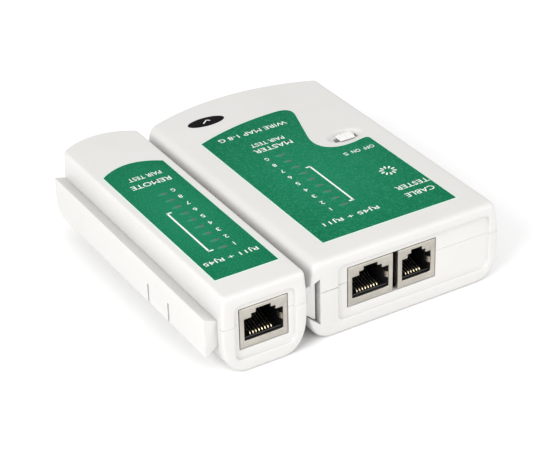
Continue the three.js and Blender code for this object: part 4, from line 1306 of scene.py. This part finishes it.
# %% Sticker
STICKER_UP = 0.14
lo, hi = span("oval_sticker")
(sticker_x, sticker_y), sticker_low = ((lo + hi) / 2)[:2], MASTER.height - 0.01
sticker = oval_cap("black_oval", sticker_x, sticker_y, sticker_low, (hi[0] - lo[0]) / 2,
                   (hi[1] - lo[1]) / 2, STICKER_UP, power=0.2)
settle(sticker, "master", "black_sticker", STICKER, "oval_sticker")


def stroke(a, b, width):
    """A straight stroke from a to b."""
    a, b = np.array(a, float), np.array(b, float)
    along = (b - a) / np.linalg.norm(b - a)
    off = np.array([-along[1], along[0]]) * width / 2
    return np.array([a - off, b - off, b + off, a + off]), [[0, 1, 2, 3]]


tick_x, tick_y = sticker_x - MASTER.x, sticker_y
tick = [stroke((tick_x + 1.5, tick_y - 0.1), (tick_x + 0.5, tick_y + 0.85), 0.42),
        stroke((tick_x + 0.65, tick_y + 0.85), (tick_x - 1.5, tick_y - 0.95), 0.42)]
print_on("sticker_mark", MASTER, "master", tick)

# %% [markdown]
# ## The slide switch's knob
# A small white cap with ridges across its travel, so that a finger can push it. Its top is a
# height field: a row of rounded ridges, falling away at the rim. The border rows carry the
# sides down, and a narrow neck goes on through the slot.

# %% Knob
KNOB_LOW, NECK_LOW, NECK_LONG, NECK_WIDE = 26.3, 24.0, 1.6, 0.75
RIDGE_STEP, RIDGE_HIGH, KNOB_WALL = 1.05, 0.42, 0.5
half_long, half_wide = (knob_hi - knob_lo)[:2] / 2
knob_x, knob_y = (knob_lo + knob_hi)[:2] / 2
u, v = np.meshgrid(np.linspace(-1, 1, 61), np.linspace(-1, 1, 25))
ridges = RIDGE_HIGH * np.abs(np.sin(np.pi * (u * half_long) / RIDGE_STEP)) ** 0.8 - RIDGE_HIGH
fall = 0.28 * (np.abs(u) ** 14 + np.abs(v) ** 10)
inside = (np.abs(u) < 0.93) & (np.abs(v) < 0.9)
top = np.stack([knob_x + u * half_long, knob_y + v * half_wide,
                knob_hi[2] - 0.02 - fall + np.where(inside, ridges, -0.25)], -1)
wide = np.concatenate([top[:1], top, top[-1:]])
wide = np.concatenate([wide[:, :1], wide, wide[:, -1:]], 1)
wide[[0, -1], :, 2] = KNOB_LOW
wide[:, [0, -1], 2] = KNOB_LOW
knob = surface("slide_knob", [wide], merge=0.0005)
thicken(knob, KNOB_WALL)
neck = block(knob_x - NECK_LONG, knob_x + NECK_LONG, knob_y - NECK_WIDE, knob_y + NECK_WIDE,
             NECK_LOW, KNOB_LOW + 0.3)
combine(knob, surface("neck", [neck], around=True))
settle(knob, "switch_knob", "knob_plastic", KNOB, "switch_knob", sharp=50)

# %% [markdown]
# ## What stays from the frame
# The boards, chips, lamps, battery, leads and screws keep their own shapes, because little of
# them shows. Each takes its finish by the material slot that the record gives it.

# %% Finishes for the frame's own pieces
BY_SLOT = {"case_plastic": ABS, "printed_film": FILM_EDGE, "black_sticker": STICKER,
           "jack_shield": NICKEL, "jack_insert": INSERT, "contact_gold": GOLD,
           "board_fibre": FIBRE, "led_lens": LENS_TINT, "power_lens": POWER_TINT,
           "chip_epoxy": EPOXY, "steel": ZINC, "resistor_ceramic": CERAMIC,
           "battery_jacket": JACKET, "red_wire": RED_PVC, "black_wire": BLACK_PVC,
           "knob_plastic": KNOB}
slots = {part["node"]: part["material_slot"] for part in frame["record"]["subparts"]}
for name, node in frame["nodes"].items():
    node.data.materials.clear()
    node.data.materials.append(BY_SLOT[slots[name]])
print("frame pieces shown:", sum(not n.hide_render for n in frame["nodes"].values()))

# %% [markdown]
# ## The floor
# A plain pale sheet under the tester. Its own noise is so faint that it only breaks up the
# light a little.

# %% Floor
PAPER = moulded("pale_floor", (0.9, 0.9, 0.9), (0.885, 0.885, 0.885), 0.75, grain=300, bump=0.02,
                cloud=6)
FLOOR_HALF = 6000.0
x, y = np.meshgrid(*[np.linspace(-FLOOR_HALF, FLOOR_HALF, 5)] * 2)
floor = surface("floor", [np.stack([x, y, 0 * x - 0.1], -1)])
floor.data.materials.append(PAPER)
floor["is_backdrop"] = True

# %% [markdown]
# ## Sizes
# The box of what is seen is printed beside the frame's box.

# %% Sizes
seen_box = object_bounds()
for title, box in (("frame", cad_box), ("seen", seen_box)):
    print(title, [[round(v / MM, 2) for v in corner] for corner in box])
